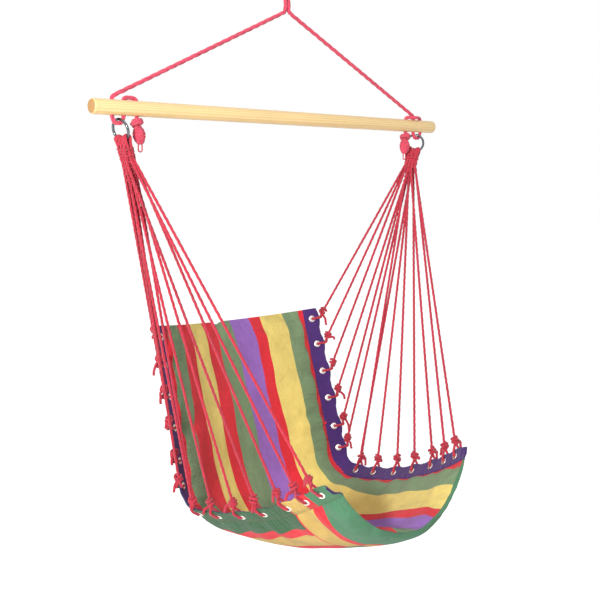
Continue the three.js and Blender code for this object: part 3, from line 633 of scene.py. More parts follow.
def material_of(name):
    """One of the chair's finishes, made at its first use."""
    found = bpy.data.materials.get(name)
    if found:
        return found
    chair = settings()
    look, *values = {
        # The rope's paler red is partly painted light, and the cords' darker red is partly painted shade
        "Red rope": (rope_look, chair.rope.color, 6.0, 260.0),
        "Red cord": (rope_look, chair.rope.cord_color, 5.0, 380.0),
        "Striped cover": (printed_look, 1 - chair.cloth.hem_width / SLING_LENGTH, 0.0, 0.10),
        "Under cover": (printed_look, UNDER_CROSS_FROM, 1.0, 0.2),
        "Purple band": (cloth_look, chair.cloth.band, 0.16, 0.55),
        "Pale wood": (wood_look, chair.wood),
        "Ring steel": (metal_look, chair.metal.ring, 0.12, 0.26, 0.00008),
        "Eyelet nickel": (metal_look, chair.metal.eyelet, 0.26, 0.42, 0.0001),
        "Band thread": (thread_look, 86, 56, 130),
        "Cover thread": (thread_look, 120, 132, 96),
    }[name]
    material, build = new_material(name)
    inputs, height, depth = look(build, *values)
    normal = build.add("ShaderNodeBump", {"Height": height, "Distance": depth, "Strength": 1.0})
    shader = build.add("ShaderNodeBsdfPrincipled", {**inputs, "Normal": normal})
    build.node("ShaderNodeOutputMaterial", {0: shader})
    return material


# Mesh helpers


def link_object(name, data):
    made = bpy.data.objects.new(name, data)
    bpy.context.scene.collection.objects.link(made)
    return made


def finish(piece, body, slot, *nodes):
    """A finished piece, attached to the body that it moves with, with the nodes it stands for hidden. The
    slot is not used.
    """
    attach(piece, body)
    if nodes:
        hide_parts(*nodes)
    return piece


def drop(piece):
    mesh = piece.data
    bpy.data.objects.remove(piece)
    bpy.data.meshes.remove(mesh)


def new_mesh(name, points, edges=(), faces=()):
    mesh = bpy.data.meshes.new(name)
    mesh.from_pydata(np.asarray(points, dtype=float).tolist(), edges, faces)
    return mesh


def shade_smooth(mesh):
    mesh.polygons.foreach_set("use_smooth", [True] * len(mesh.polygons))


def evaluated_mesh(piece):
    """The plain mesh that a piece's modifiers make. The piece is removed."""
    name = piece.name
    depsgraph = bpy.context.evaluated_depsgraph_get()
    mesh = bpy.data.meshes.new_from_object(piece.evaluated_get(depsgraph), preserve_all_data_layers=True,
                                           depsgraph=depsgraph)
    drop(piece)
    mesh.name = name
    return link_object(name, mesh)


def through_tree(carrier, tree_name, values):
    """The plain mesh that a Geometry Nodes tree makes of a carrier, which is removed."""
    modifier = carrier.modifiers.new("Tree", "NODES")
    modifier.node_group = group_tree(tree_name)
    for item in modifier.node_group.interface.items_tree:
        if item.item_type == "SOCKET" and item.in_out == "INPUT" and item.name in values:
            modifier[item.identifier] = values[item.name]
    return evaluated_mesh(carrier)


def rope_piece(name, routes, diameter, lay, step=0.0022, sides=10, material="Red rope"):
    """A laid rope or cord along each of the routes."""
    firsts = np.cumsum([0] + [len(route) for route in routes])
    edges = [(first + i, first + i + 1) for first, route in zip(firsts, routes)
             for i in range(len(route) - 1)]
    return through_tree(link_object(name, new_mesh(name, np.vstack(routes), edges)), "Laid rope", {
        "Diameter": diameter, "Strands": settings().rope.strands, "Lay": lay, "Step": step,
        "Sides": sides, "Finish": material_of(material)})


def copies_piece(name, shape, points, facings, headings, material):
    """Copies of one shape, set on points. The shape itself is removed."""
    mesh = new_mesh(name, points)
    for title, values in (("facing", facings), ("heading", headings)):
        layer = mesh.attributes.new(title, "FLOAT_VECTOR", "POINT")
        layer.data.foreach_set("vector", np.asarray(values, dtype=np.float32).ravel())
    made = through_tree(link_object(name, mesh), "Placed copies", {
        "Shape": shape, "Finish": material_of(material)})
    drop(shape)
    return made


def joined(name, pieces):
    """Several pieces as one mesh, which keeps their attributes."""
    whole = bmesh.new()
    for piece in pieces:
        whole.from_mesh(piece.data)
    mesh = bpy.data.meshes.new(name)
    whole.to_mesh(mesh)
    whole.free()
    for material in pieces[0].data.materials:
        mesh.materials.append(material)
    for piece in pieces:
        drop(piece)
    return link_object(name, mesh)


def set_maps(mesh, **maps):
    """UV maps of a thick sheet: a pair of numbers for each point of the grid, alike on both skins."""
    corners = np.empty(len(mesh.loops), dtype=np.int32)
    mesh.loops.foreach_get("vertex_index", corners)
    for name, values in maps.items():
        both = np.vstack([values.reshape(-1, 2)] * 2).astype(np.float32)
        mesh.uv_layers.new(name=name).data.foreach_set("uv", both[corners].ravel())


def lathe(name, profile, count):
    """A profile of radius and height pairs, turned round Z. A closed profile repeats its first pair."""
    angles = [2 * math.pi * k / count for k in range(count)]
    points = [(radius * math.cos(a), radius * math.sin(a), height)
              for radius, height in profile for a in angles]
    faces = [(i * count + k, i * count + (k + 1) % count, (i + 1) * count + (k + 1) % count,
              (i + 1) * count + k) for i in range(len(profile) - 1) for k in range(count)]
    mesh = new_mesh(name, points, faces=faces)
    cleaned = bmesh.new()
    cleaned.from_mesh(mesh)
    bmesh.ops.remove_doubles(cleaned, verts=cleaned.verts, dist=1e-6)
    bmesh.ops.recalc_face_normals(cleaned, faces=cleaned.faces)
    cleaned.to_mesh(mesh)
    cleaned.free()
    shade_smooth(mesh)
    return mesh


def coordinates(mesh):
    values = np.empty(len(mesh.vertices) * 3)
    mesh.vertices.foreach_get("co", values)
    return values.reshape(-1, 3)


def unit(values):
    values = np.asarray(values, dtype=float)
    return values / np.maximum(np.linalg.norm(values, axis=-1, keepdims=True), 1e-12)


# Routes


def eased(points, step=0.008, rounds=2):
    """A route whose corners are eased into curves. Its ends stay."""
    points = [np.asarray(point, dtype=float) for point in points]
    line = points[:1]
    for start, point in zip(points, points[1:]):
        count = max(1, math.ceil(np.linalg.norm(point - start) / step))
        line.extend(start + (point - start) * k / count for k in range(1, count + 1))
    line = np.array(line)
    for _ in range(rounds):
        cut = np.empty((2 * len(line) - 2, 3))
        cut[0::2] = 0.75 * line[:-1] + 0.25 * line[1:]
        cut[1::2] = 0.25 * line[:-1] + 0.75 * line[1:]
        line = np.vstack([line[:1], cut, line[-1:]])
    return line


def finely_eased(points):
    return eased(points, 0.004)


def rounded(corners, radii):
    """A route through corners, each rounded to its radius."""
    corners = [np.asarray(corner, dtype=float) for corner in corners]
    route = [corners[0]]
    for corner, before, after, radius in zip(corners[1:-1], corners, corners[2:], radii):
        inward, outward = unit(corner - before), unit(after - corner)
        turn = math.acos(max(-1.0, min(1.0, float(inward @ outward))))
        start = corner - inward * radius * math.tan(turn / 2)
        to_centre = unit(outward - inward * (outward @ inward))
        centre = start + to_centre * radius
        steps = max(1, math.ceil(turn / CORNER_STEP))
        route.extend(centre - to_centre * radius * math.cos(turn * k / steps)
                     + inward * radius * math.sin(turn * k / steps) for k in range(steps + 1))
    route.append(corners[-1])
    return np.array(route)


def coil(centre, axis, radius, swell, height, turns, start=0.0, power=1.0):
    """A route that winds round an axis, from top to bottom, and swells in the middle of its height."""
    axis = unit(axis)
    side = unit(np.cross(axis, (0.31, 0.87, 0.38)))
    other = np.cross(axis, side)
    shares = np.linspace(0, 1, max(4, math.ceil(2 * math.pi * turns / COIL_STEP)) + 1)
    reach = radius + swell * np.sin(math.pi * shares) ** power
    angles = start + 2 * math.pi * turns * shares
    return (np.asarray(centre) + np.outer(0.5 - shares, axis) * height
            + np.outer(np.cos(angles) * reach, side) + np.outer(np.sin(angles) * reach, other))


# The sling's surface


def edge_line(v):
    """Side view of the edge at v metres from the top: y, z, and the way away from the sitter."""
    on_back = np.minimum(v, BACK_LENGTH)
    bend = BACK_LEAN + np.clip(v - BACK_LENGTH, 0, CORNER_RUN) / CORNER_RADIUS
    seat_turn = BACK_LEAN + CORNER_TURN
    tilt = seat_turn + np.maximum(v - BACK_LENGTH - CORNER_RUN, 0) / SEAT_RADIUS
    y = BACK_TOP_Y - math.sin(BACK_LEAN) * on_back + CORNER_RADIUS * (np.cos(bend) - math.cos(BACK_LEAN))
    z = BACK_TOP_Z - math.cos(BACK_LEAN) * on_back - CORNER_RADIUS * (np.sin(bend) - math.sin(BACK_LEAN))
    y = y + SEAT_RADIUS * (np.cos(tilt) - math.cos(seat_turn))
    z = z - SEAT_RADIUS * (np.sin(tilt) - math.sin(seat_turn))
    turn = np.where(v <= BACK_LENGTH, BACK_LEAN, np.where(v <= BACK_LENGTH + CORNER_RUN, bend, tilt))
    return y, z, np.cos(turn), -np.sin(turn)


def half_width(v):
    front = np.maximum(v - BACK_LENGTH, 0) / (SLING_LENGTH - BACK_LENGTH)
    behind = HALF_WIDTH_TOP + (HALF_WIDTH_CORNER - HALF_WIDTH_TOP) * np.minimum(v / BACK_LENGTH, 1)
    return behind - (HALF_WIDTH_CORNER - HALF_WIDTH_FRONT) * front ** 2


def sag(v):
    middle = BACK_LENGTH + CORNER_RUN / 2
    return np.where(v < middle, SAG_TOP + (SAG_CORNER - SAG_TOP) * v / middle,
                    SAG_CORNER + (SAG_FRONT - SAG_CORNER) * (v - middle) / (SLING_LENGTH - middle))


def half_section(width, depth, share):
    """Length along the sagging section, from its middle to a share of its half width."""
    steep = 2 * depth / width
    return width / 2 * (share * np.hypot(1, steep * share) + np.arcsinh(steep * share) / steep)


def panel_half(v):
    """Half the width of the panel between its bands, measured along the cloth."""
    return half_section(half_width(v), sag(v), 1.0) - BAND_WIDTH


def sling_point(v, inset, side):
    """A point of the sling, a length in from the edge. The band's width lies flat."""
    v, inset, side = np.broadcast_arrays(*(np.asarray(part, float) for part in (v, inset, side)))
    width, depth = half_width(v), sag(v)
    target = half_section(width, depth, 1.0) - np.maximum(inset, BAND_SHELF)
    share = target / half_section(width, depth, 1.0)
    for _ in range(8):
        slope = width * np.hypot(1, 2 * depth / width * share)
        share = share - (half_section(width, depth, share) - target) / slope
    y, z, away_y, away_z = edge_line(v)
    drop_depth = depth * (1 - share ** 2)
    deep = np.stack([side * width * share, y + away_y * drop_depth, z + away_z * drop_depth], axis=-1)
    edge = np.stack([side * width, y, z], axis=-1)
    flat = np.minimum(inset / BAND_SHELF, 1.0)[..., None]
    return edge * (1 - flat) + deep * flat


def onward_way(v, inset, side, step):
    return unit(sling_point(v + step, inset, side) - sling_point(v - step, inset, side))


def band_frame(v, side):
    """At a place of the band: its edge point, the way out, the sitter's side and the way onward."""
    edge = sling_point(v, 0.0, side)
    out = unit(edge - sling_point(v, BAND_WIDTH, side))
    onward = onward_way(v, EYELET_INSET, side, 0.004)
    return edge, out, unit(np.cross(onward, out) * side), onward


def smooth_noise(points, scale, offset=0.0):
    """Soft noise from -1 to 1 at each point."""
    return np.array([noise.noise(Vector((x * scale + offset, y * scale, z * scale))) for x, y, z in points])


def rise(run, length):
    """From 0 to 1 over a length, round like a cushion's edge."""
    return np.sqrt(np.maximum(1 - (1 - np.clip(run / length, 0, 1)) ** 2, 0))


# Rings and cords


def ring_point(side_name, reach, along, out, turn_share):
    """A point in the frame of a ring: reach down the cords' pull, along the sling's side, out."""
    side, turn = SIDES[side_name], RING_TURNS[side_name] * turn_share
    down = np.array([-side * math.sin(PULL_ANGLE), 0, -math.cos(PULL_ANGLE)])
    outward = np.array([side * math.cos(PULL_ANGLE), 0, -math.sin(PULL_ANGLE)])
    return (np.array([side * RING_X, 0, RING_TOP_Z]) + down * reach
            + np.array([0, 1, 0]) * (along * math.cos(turn) - out * math.sin(turn))
            + outward * (along * math.sin(turn) + out * math.cos(turn)))


def bundle_point(side_name, share, along, out):
    """A point of the bundle, at a share of its length. The ring's turn fades out down the bundle."""
    return ring_point(side_name, BUNDLE_START + share * BUNDLE_LENGTH, along, out, 1 - share)


def tie_route(side_name, index, stay, loose):
    """From inside a cord's knot: through the eyelet and back, round the knot and out as a tail."""
    side = SIDES[side_name]
    edge, out, facing, onward = (part[0] for part in band_frame(EYELET_PLACES[index:index + 1], side))
    towards = unit(ring_point(side_name, BUNDLE_START + stay * BUNDLE_LENGTH, 0, 0, 0) - edge)
    centre = edge + towards * KNOT_STAND_OFF
    vary = np.sin(np.array([3.1, 5.3, 7.7]) * (index + 1) + side)

    def at(reach, lift):
        return edge + out * reach + facing * lift
    into = centre - towards * 0.007
    through = BAND_FOLD - EYELET_INSET
    loop = [into, at(0.005, CORD_LIFT), at(-0.006, CORD_LIFT), at(through, CORD_LIFT - 0.001),
            at(through, 0.001 - CORD_LIFT), at(-0.006, -CORD_LIFT), at(0.005, -CORD_LIFT), into,
            centre + towards * 0.008]
    wraps = coil(centre, unit(towards + onward * 0.5 * vary[2] + facing * 0.4 * vary[1]), COIL_RADIUS,
                 COIL_SWELL, COIL_HEIGHT, COIL_TURNS + 0.3 * vary[0], start=3.0 * vary[1])
    swing = unit(wraps[-1] - wraps[-2])
    lean = unit(out * 0.9 + onward * vary[2] * 0.8 + facing * (0.5 * vary[0]))
    turned = wraps[-1] + swing * 0.006 + lean * 0.006
    droop = np.array([0, 0, -1.0])
    tail = [wraps[-1] + swing * 0.004, turned, turned + (lean * 0.3 + droop * 0.2) * loose,
            turned + (lean * 0.45 + droop * (0.75 + 0.2 * vary[1])) * loose]
    return centre, towards, np.vstack([loop, wraps, tail])


def leg_route(side_name, plan, out_sign):
    """One leg in the bundle, from where it leaves it up to the ring."""
    _, _, slot, layer, stay = plan
    return [bundle_point(side_name, share, slot * CORD_PITCH * (1 + CORD_SPREAD * (1 - share)),
                         out_sign * (layer + 0.5) * CORD_PITCH) for share in np.linspace(stay, 0, 7)]


def crossing_route(side_name, plan):
    """Over the ring's wire, from one face of the ring to the other."""
    _, _, slot, layer, _ = plan
    clear = WIRE_RADIUS + settings().rope.cord_diameter / 2 + layer * 0.0012
    angle = slot * CROSSING_STEP
    along, reach = RING_RADIUS * math.sin(angle), RING_RADIUS * (1 + math.cos(angle))
    foot_along = 0.35 * along + 0.65 * slot * CORD_PITCH * 1.4
    feet = [ring_point(side_name, 2 * RING_RADIUS + WIRE_RADIUS, foot_along, out, 1)
            for out in (-clear, clear)]
    over = [ring_point(side_name, reach - clear * math.cos(turn) * math.cos(angle),
                       along - clear * math.cos(turn) * math.sin(angle), clear * math.sin(turn), 1)
            for turn in np.linspace(-math.pi / 2, math.pi / 2, 9)]
    return [feet[0], *over, feet[1]]


def cord_route(side_name, plan):
    """A cord doubled over the ring, tied to its eyelets."""
    inner, outer, _, _, stay = plan
    loose = settings().rope.tail
    centre, towards, tie = tie_route(side_name, inner, stay, loose)
    whole = [*tie[::-1], centre + towards * 0.012, *leg_route(side_name, plan, -1),
             *crossing_route(side_name, plan), *leg_route(side_name, plan, 1)[::-1]]
    if inner == outer:
        sideways = unit(np.cross(towards, (0, 1, 0))) * 0.003
        whole += [centre + towards * 0.014 + sideways, centre - towards * 0.004,
                  centre - towards * 0.009 + sideways * 2.4, centre - towards * 0.02 + sideways * 3]
    else:
        centre, towards, tie = tie_route(side_name, outer, stay, loose * 0.8)
        whole += [centre + towards * 0.012, *tie]
    return eased(whole)


def weft_route(side_name):
    """The cord that is woven down the bundle: over one cord and under the next, row by row."""
    top, bottom = 2 * RING_RADIUS + WIRE_RADIUS + WEFT_TOP, BUNDLE_START + 0.98 * BUNDLE_LENGTH
    points = []
    for row in range(round((bottom - top) / WEFT_PITCH)):
        for face in (1, -1):
            for k in range(WEFT_POINTS):
                across = face * (1 - 2 * k / (WEFT_POINTS - 1))
                reach = top + WEFT_PITCH * (row + (0 if face > 0 else 0.5) + k / (2 * WEFT_POINTS))
                share = min(max((reach - BUNDLE_START) / BUNDLE_LENGTH, 0.0), 1.0)
                width = np.interp(share, WEFT_SHARES, WEFT_WIDTHS) - WEFT_INDENT * (row % 2)
                along = width * math.copysign(1 - (1 - abs(across)) ** 1.6, across)
                spacing = CORD_PITCH * (1 + CORD_SPREAD * (1 - share))
                over = 0.5 + 0.5 * math.cos(math.pi * along / spacing + math.pi * row)
                out = face * math.sqrt(max(0.0, 1 - across ** 4)) * (WEFT_OUT + WEFT_OVER * over)
                points.append(ring_point(side_name, reach, along, out, 1 - share))
    return eased(points, rounds=1)


# Cloth


def thick_sheet(name, upper, lower, keep):
    """A closed shell between two grids of points. Cells that aren't kept are holes with walls."""
    rows, columns = upper.shape[:2]
    total = rows * columns
    faces = []

    def kept(i, j):
        return 0 <= i < rows - 1 and 0 <= j < columns - 1 and keep[i, j]
    for i, j in np.ndindex(rows - 1, columns - 1):
        if not keep[i, j]:
            continue
        a, d = i * columns + j, i * columns + j + 1
        b, c = a + columns, d + columns
        faces.append((a, b, c, d))
        faces.append((a + total, d + total, c + total, b + total))
        for near, first, second in ((kept(i, j - 1), a, b), (kept(i + 1, j), b, c),
                                    (kept(i, j + 1), c, d), (kept(i - 1, j), d, a)):
            if not near:
                faces.append((second, first, first + total, second + total))
    return new_mesh(name, np.vstack([upper.reshape(-1, 3), lower.reshape(-1, 3)]), faces=faces)


def band_grids(side):
    """Rows of the folded band, the inset and height of its section, its outer and its inner skin."""
    rows = np.linspace(0, SLING_LENGTH, BAND_ROWS)
    flat = np.linspace(BAND_WIDTH, BAND_FOLD, FACE_COLUMNS)
    half = BAND_HALF - 0.0001
    fold = np.linspace(0, math.pi, 7)[1:-1]
    insets = np.concatenate([flat, BAND_FOLD - half * np.sin(fold) * 0.9, flat[::-1]])
    heights = np.concatenate([np.full(FACE_COLUMNS, half), half * np.cos(fold),
                              np.full(FACE_COLUMNS, -half)])
    _, out, facing, onward = (part[:, None, :] if part.ndim > 1 else part for part in band_frame(rows, side))
    slack = np.clip(np.abs(rows[:, None] - EYELET_PLACES).min(axis=1) / PULL_RUN, 0, 1)[:, None] ** 2
    pull = (PULL_OUT - PULL_LOSS * slack) * np.clip(1 - insets / PULL_INSET, 0, 1)
    fine = np.sin(rows * 2 * math.pi / FINE_WAVE + 2.2 * np.sin(rows * 61))[:, None] * 0.5
    broad = np.sin(rows * 2 * math.pi / BROAD_WAVE + 1.3 * np.sin(rows * 23) + side)[:, None]
    lump = (fine * FINE_HEIGHT * np.exp(-((insets - 0.036) / 0.010) ** 2)
            + broad * BROAD_HEIGHT * slack * np.clip(1 - insets / 0.03, 0, 1))
    curl = BAND_CURL if side < 0 else 0.4 * BAND_CURL
    past = np.maximum(rows - (SLING_LENGTH - BAND_CURL_RUN), 0)[:, None] / BAND_CURL_RUN
    flap = past ** 2 * np.clip((PAD_RIM_INSET - insets) / 0.012, 0, 1)
    curled = (facing + 0.35 * onward) * curl * flap[..., None]
    moved = out * pull[..., None] + facing * lump[..., None] - curled
    shrink = 1 - BAND_PLY / BAND_HALF
    inner_insets = np.where(insets < BAND_FOLD, BAND_FOLD + (insets - BAND_FOLD) * shrink, insets)
    outer, inner = (sling_point(rows[:, None], inset, side) + facing * height[:, None] + moved
                    for inset, height in ((insets, heights), (inner_insets, heights * shrink)))
    return rows, insets, heights, outer, inner


def band_piece(side_name):
    """A strip of cloth folded over the panel's edge, cut through for its eyelets."""
    side = SIDES[side_name]
    rows, insets, heights, outer, inner = band_grids(side)
    middle_rows, middle_insets = (rows[1:] + rows[:-1]) / 2, (insets[1:] + insets[:-1]) / 2
    keep = np.ones((len(rows) - 1, len(insets) - 1), dtype=bool)
    for place in EYELET_PLACES:
        keep &= np.hypot(middle_rows[:, None] - place, middle_insets - EYELET_INSET) > EYELET_CUT
    around = np.cumsum(np.concatenate([[0], np.abs(np.diff(insets)) + np.abs(np.diff(heights))]))
    cloth = np.stack(np.broadcast_arrays(around, rows[:, None]), axis=-1)
    edge_share = np.full(len(insets), 0.05 if side < 0 else 0.95)
    stripe = np.stack(np.broadcast_arrays(edge_share, rows[:, None] / SLING_LENGTH), axis=-1)
    if side > 0:
        outer, inner, keep, cloth = (grid[:, ::-1] for grid in (outer, inner, keep, cloth))
    name = f"{side_name}_band"
    mesh = thick_sheet(name, outer, inner, keep)
    set_maps(mesh, StripeMap=stripe, ClothMap=cloth)
    mesh.materials.append(material_of("Purple band"))
    mesh.materials.append(material_of("Under cover"))
    columns, total = len(insets), len(rows) * len(insets)
    for polygon in mesh.polygons:
        touched = [vertex % columns for vertex in polygon.vertices]
        column = min(touched) if side < 0 else columns - 1 - max(touched)
        polygon.material_index = int(column >= columns // 2 and max(polygon.vertices) < total)
        polygon.use_smooth = True
    return link_object(name, mesh)


def stitches(name, side, insets, face, material):
    """Rows of short stitches on one face of the band. Each is a thread that dips at both ends."""
    profile = [(radius, -height) for radius, height in STITCH_PROFILE] + [*STITCH_PROFILE[-2::-1]]
    mesh = lathe("stitch", profile, STITCH_SIDES)
    mesh.transform(Matrix.Rotation(math.pi / 2, 4, "Y"))
    places = np.arange(STITCH_STEP, SLING_LENGTH - STITCH_STEP, STITCH_STEP)
    clear = np.abs(places[:, None] - EYELET_PLACES).min(axis=1)
    points, facings, headings = [], [], []
    for inset in insets:
        use = places[(clear > STITCH_CLEAR) | (abs(inset - EYELET_INSET) > STITCH_PAST)]
        facing = band_frame(use, side)[2] * face
        points.append(sling_point(use, inset, side) + facing * (BAND_HALF + 0.0002))
        facings.append(facing)
        headings.append(onward_way(use, inset, side, 0.002))
    return copies_piece(name, link_object("stitch", mesh), np.vstack(points), np.vstack(facings),
                        np.vstack(headings), material)


def front_share(v):
    """From 0, where the front hollow begins, to 1 at the front edge."""
    return np.clip(1 - (SLING_LENGTH - v) / FRONT_HOLLOW_RUN, 0, 1)


def panel_point(v, inset, side):
    """A point of the panel, whose front edge is drawn back in its middle."""
    across = np.clip((inset - BAND_SHELF) / (panel_half(v) - BAND_SHELF + BAND_WIDTH), 0, 1)
    drawn = v - FRONT_HOLLOW * (1 - (1 - across) ** 2) * front_share(v) ** 2
    reach = BAND_SHELF + across * (panel_half(drawn) - BAND_SHELF + BAND_WIDTH)
    return sling_point(drawn, np.where(across > 0, reach, inset), side)


def pad_grid():
    """Middle surface of the pad: rows, points, facing, share across, reach, inset and crown."""
    end = np.array(PAD_END_ROWS)
    rows = np.concatenate([end, np.linspace(PAD_END, SLING_LENGTH - PAD_END, PAD_ROWS - 2 * len(end)),
                           SLING_LENGTH - end[::-1]])
    first = PAD_RIM_INSET + np.linspace(0, 1, 5) * (BAND_SHELF + 0.003 - PAD_RIM_INSET)
    inner = np.linspace(0, 1, PAD_COLUMNS // 2 - 4)[1:] ** 0.92
    half = (panel_half(rows) + BAND_WIDTH)[:, None]
    insets = np.concatenate([np.broadcast_to(first, (len(rows), len(first))),
                             first[-1] + inner * (half - first[-1])], axis=1)
    points = np.concatenate([panel_point(rows[:, None], insets, -1),
                             panel_point(rows[:, None], insets[:, :-1][:, ::-1], 1)], axis=1)
    reach = np.concatenate([insets, (2 * half - insets[:, :-1])[:, ::-1]], axis=1)
    share = (reach - BAND_WIDTH) / (2 * (half - BAND_WIDTH))
    inset = np.minimum(reach, 2 * half - reach)
    ends_rise = rise(rows, PAD_TOP_RUN) ** 2 * rise(SLING_LENGTH - rows - PAD_SEAM, PAD_FRONT_RUN) ** 1.3
    crown = rise(inset - BAND_SHELF - PAD_SEAM, PAD_CROWN_RUN) * ends_rise[:, None]
    down, across = np.gradient(points, axis=0), np.gradient(points, axis=1)
    notch = NOTCH_DEPTH * np.exp(-((share - NOTCH_ACROSS) / NOTCH_HALF) ** 2
                                 - (rows[:, None] / NOTCH_RUN) ** 2)
    points = points + unit(down) * notch[..., None]
    return rows, points, unit(np.cross(down, across)), share, reach, inset, crown


def front_drop(rows, inset):
    """How far the front of the panel hangs down between its bands."""
    return FRONT_DROP * front_share(rows)[:, None] * rise(inset - BAND_SHELF, 2 * PAD_CROWN_RUN)


def puckers(rows, share, inset, points):
    """Soft wrinkles: pulled in at each eyelet and loose between, with slow waves in the middle."""
    gap = np.interp(rows, EYELET_PLACES, np.arange(len(EYELET_PLACES)) * 2 * math.pi)
    near_band = np.exp(-np.clip(inset - BAND_SHELF, 0, None) / 0.045) * np.clip((inset - 0.039) / 0.01, 0, 1)
    pulled = -0.8 * np.cos(gap)[:, None] * near_band
    flat = points.reshape(-1, 3)
    slow = smooth_noise(flat, 11.0).reshape(inset.shape)
    quick = smooth_noise(flat * (1, 0.6, 0.6), 27.0, 5.0).reshape(inset.shape)
    folds = sum(depth * np.exp(-((rows[:, None] - place) / long) ** 2 - ((share - across) / wide) ** 2)
                for place, across, long, wide, depth in PAD_TUCKS)
    ends = np.clip(np.minimum(rows, SLING_LENGTH - rows) / 0.03, 0, 1)[:, None]
    soft = (1.15 * slow + 0.6 * quick) * np.clip((inset - 0.042) / 0.03, 0, 1)
    return settings().cloth.wrinkle * (pulled + soft + folds) * ends


def swell(piece, held, cap):
    """Blows the closed cover up with cloth simulation, its rim held. No point moves past cap."""
    mesh = piece.data
    start = coordinates(mesh)
    group = piece.vertex_groups.new(name="Held rim")
    group.add([int(k) for k in np.flatnonzero(held)], 1.0, "REPLACE")
    cloth = piece.modifiers.new("Cloth", "CLOTH")
    for key, value in {
            "vertex_group_mass": group.name, "use_pressure": True, "uniform_pressure_force": 4,
            "tension_stiffness": 20, "compression_stiffness": 20, "bending_stiffness": 0.8,
            "shrink_min": -0.03, "quality": 6}.items():
        setattr(cloth.settings, key, value)
    cloth.settings.effector_weights.gravity = 0
    cloth.collision_settings.use_collision = False
    cloth.point_cache.frame_start, cloth.point_cache.frame_end = 1, SWELL_FRAMES
    for number in range(1, SWELL_FRAMES + 1):
        bpy.context.scene.frame_set(number)
    depsgraph = bpy.context.evaluated_depsgraph_get()
    shift = coordinates(piece.evaluated_get(depsgraph).data) - start
    length = np.linalg.norm(shift, axis=1, keepdims=True)
    shift *= np.minimum(1, cap * np.tanh(length / cap) / np.maximum(length, 1e-9))
    piece.modifiers.remove(cloth)
    piece.vertex_groups.remove(group)
    mesh.vertices.foreach_set("co", (start + shift).ravel())
    mesh.update()
    bpy.context.scene.frame_set(1)


# Operators


class HAMMOCK_CHAIR_OT_camera(bpy.types.Operator):
    """Make the camera at the photograph's viewing angle"""

    bl_idname = "hammock_chair.camera"
    bl_label = "Camera"

    def execute(self, context):
        yaw, pitch, roll = CAMERA_YAW, CAMERA_PITCH, CAMERA_ROLL
        forward = Vector((math.sin(yaw) * math.cos(pitch), math.cos(yaw) * math.cos(pitch), math.sin(pitch)))
        right = Vector((math.cos(yaw), -math.sin(yaw), 0))
        up = right.cross(forward)
        turned = Matrix((right * math.cos(roll) + up * math.sin(roll),
                         up * math.cos(roll) - right * math.sin(roll), -forward)).transposed().to_4x4()
        camera = bpy.data.cameras.new("Camera")
        camera.sensor_width, camera.lens = 36, CAMERA_FOCAL
        camera.clip_start, camera.clip_end = 0.05, 60
        made = link_object("Camera", camera)
        made.matrix_world = Matrix.Translation(CAMERA_PLACE) @ turned
        context.scene.camera = made
        return {"FINISHED"}


def area_lamp(name, place, size, power):
    lamp = bpy.data.lights.new(name, "AREA")
    lamp.shape, lamp.size, lamp.energy = "SQUARE", size, power
    away = Vector(place) - Vector(LAMP_AIM)
    turned = away.to_track_quat("Z", "Y").to_matrix().to_4x4()
    link_object(name, lamp).matrix_world = Matrix.Translation(place) @ turned


def white_to_camera(build, lit, white):
    """Lit by the lamps, and white to the camera, to reflections and through glass."""
    camera, glossy, glass = (build.add("ShaderNodeLightPath", output=f"Is {ray} Ray")
                             for ray in ("Camera", "Glossy", "Transmission"))
    seen = build.math("MAXIMUM", camera, build.math("MAXIMUM", glossy, glass))
    return build.add("ShaderNodeMixShader", {0: seen, 1: lit, 2: white})


class HAMMOCK_CHAIR_OT_stage(bpy.types.Operator):
    """Make the pale floor, the white surroundings and the soft lamps"""

    bl_idname = "hammock_chair.stage"
    bl_label = "Stage and Lamps"

    def execute(self, context):
        studio, scene = settings().studio, context.scene
        scene.view_settings.view_transform = "Standard"
        scene.world = scene.world or bpy.data.worlds.new("Surroundings")
        scene.world.use_nodes = True
        scene.world.node_tree.nodes.clear()
        build = TreeBuilder(scene.world.node_tree)
        soft, white = (build.add("ShaderNodeBackground", {"Color": WHITE, "Strength": strength})
                       for strength in (studio.sky, 1.0))
        build.node("ShaderNodeOutputWorld", {0: white_to_camera(build, soft, white)})
        material, build = new_material("Pale floor")
        color = build.toned(studio.floor, build.patches(build.place(), 2.0, 0.01))
        lit = build.add("ShaderNodeBsdfPrincipled", {"Base Color": color, "Roughness": 0.9})
        glow = build.add("ShaderNodeEmission", {"Color": WHITE, "Strength": FLOOR_GLOW})
        shown = build.add("ShaderNodeAddShader", {0: lit, 1: glow})
        build.node("ShaderNodeOutputMaterial", {0: white_to_camera(build, lit, shown)})
        corners = [(x * FLOOR_REACH, y * FLOOR_REACH, FLOOR_Z)
                   for x, y in ((-1, -1), (1, -1), (1, 1), (-1, 1))]
        mesh = new_mesh("Floor", corners, faces=[(0, 1, 2, 3)])
        mesh.materials.append(material)
        link_object("Floor", mesh)
        area_lamp("Key lamp", KEY_PLACE, KEY_SIZE, studio.key_power)
        area_lamp("Fill lamp", FILL_PLACE, FILL_SIZE, studio.fill_power)
        return {"FINISHED"}


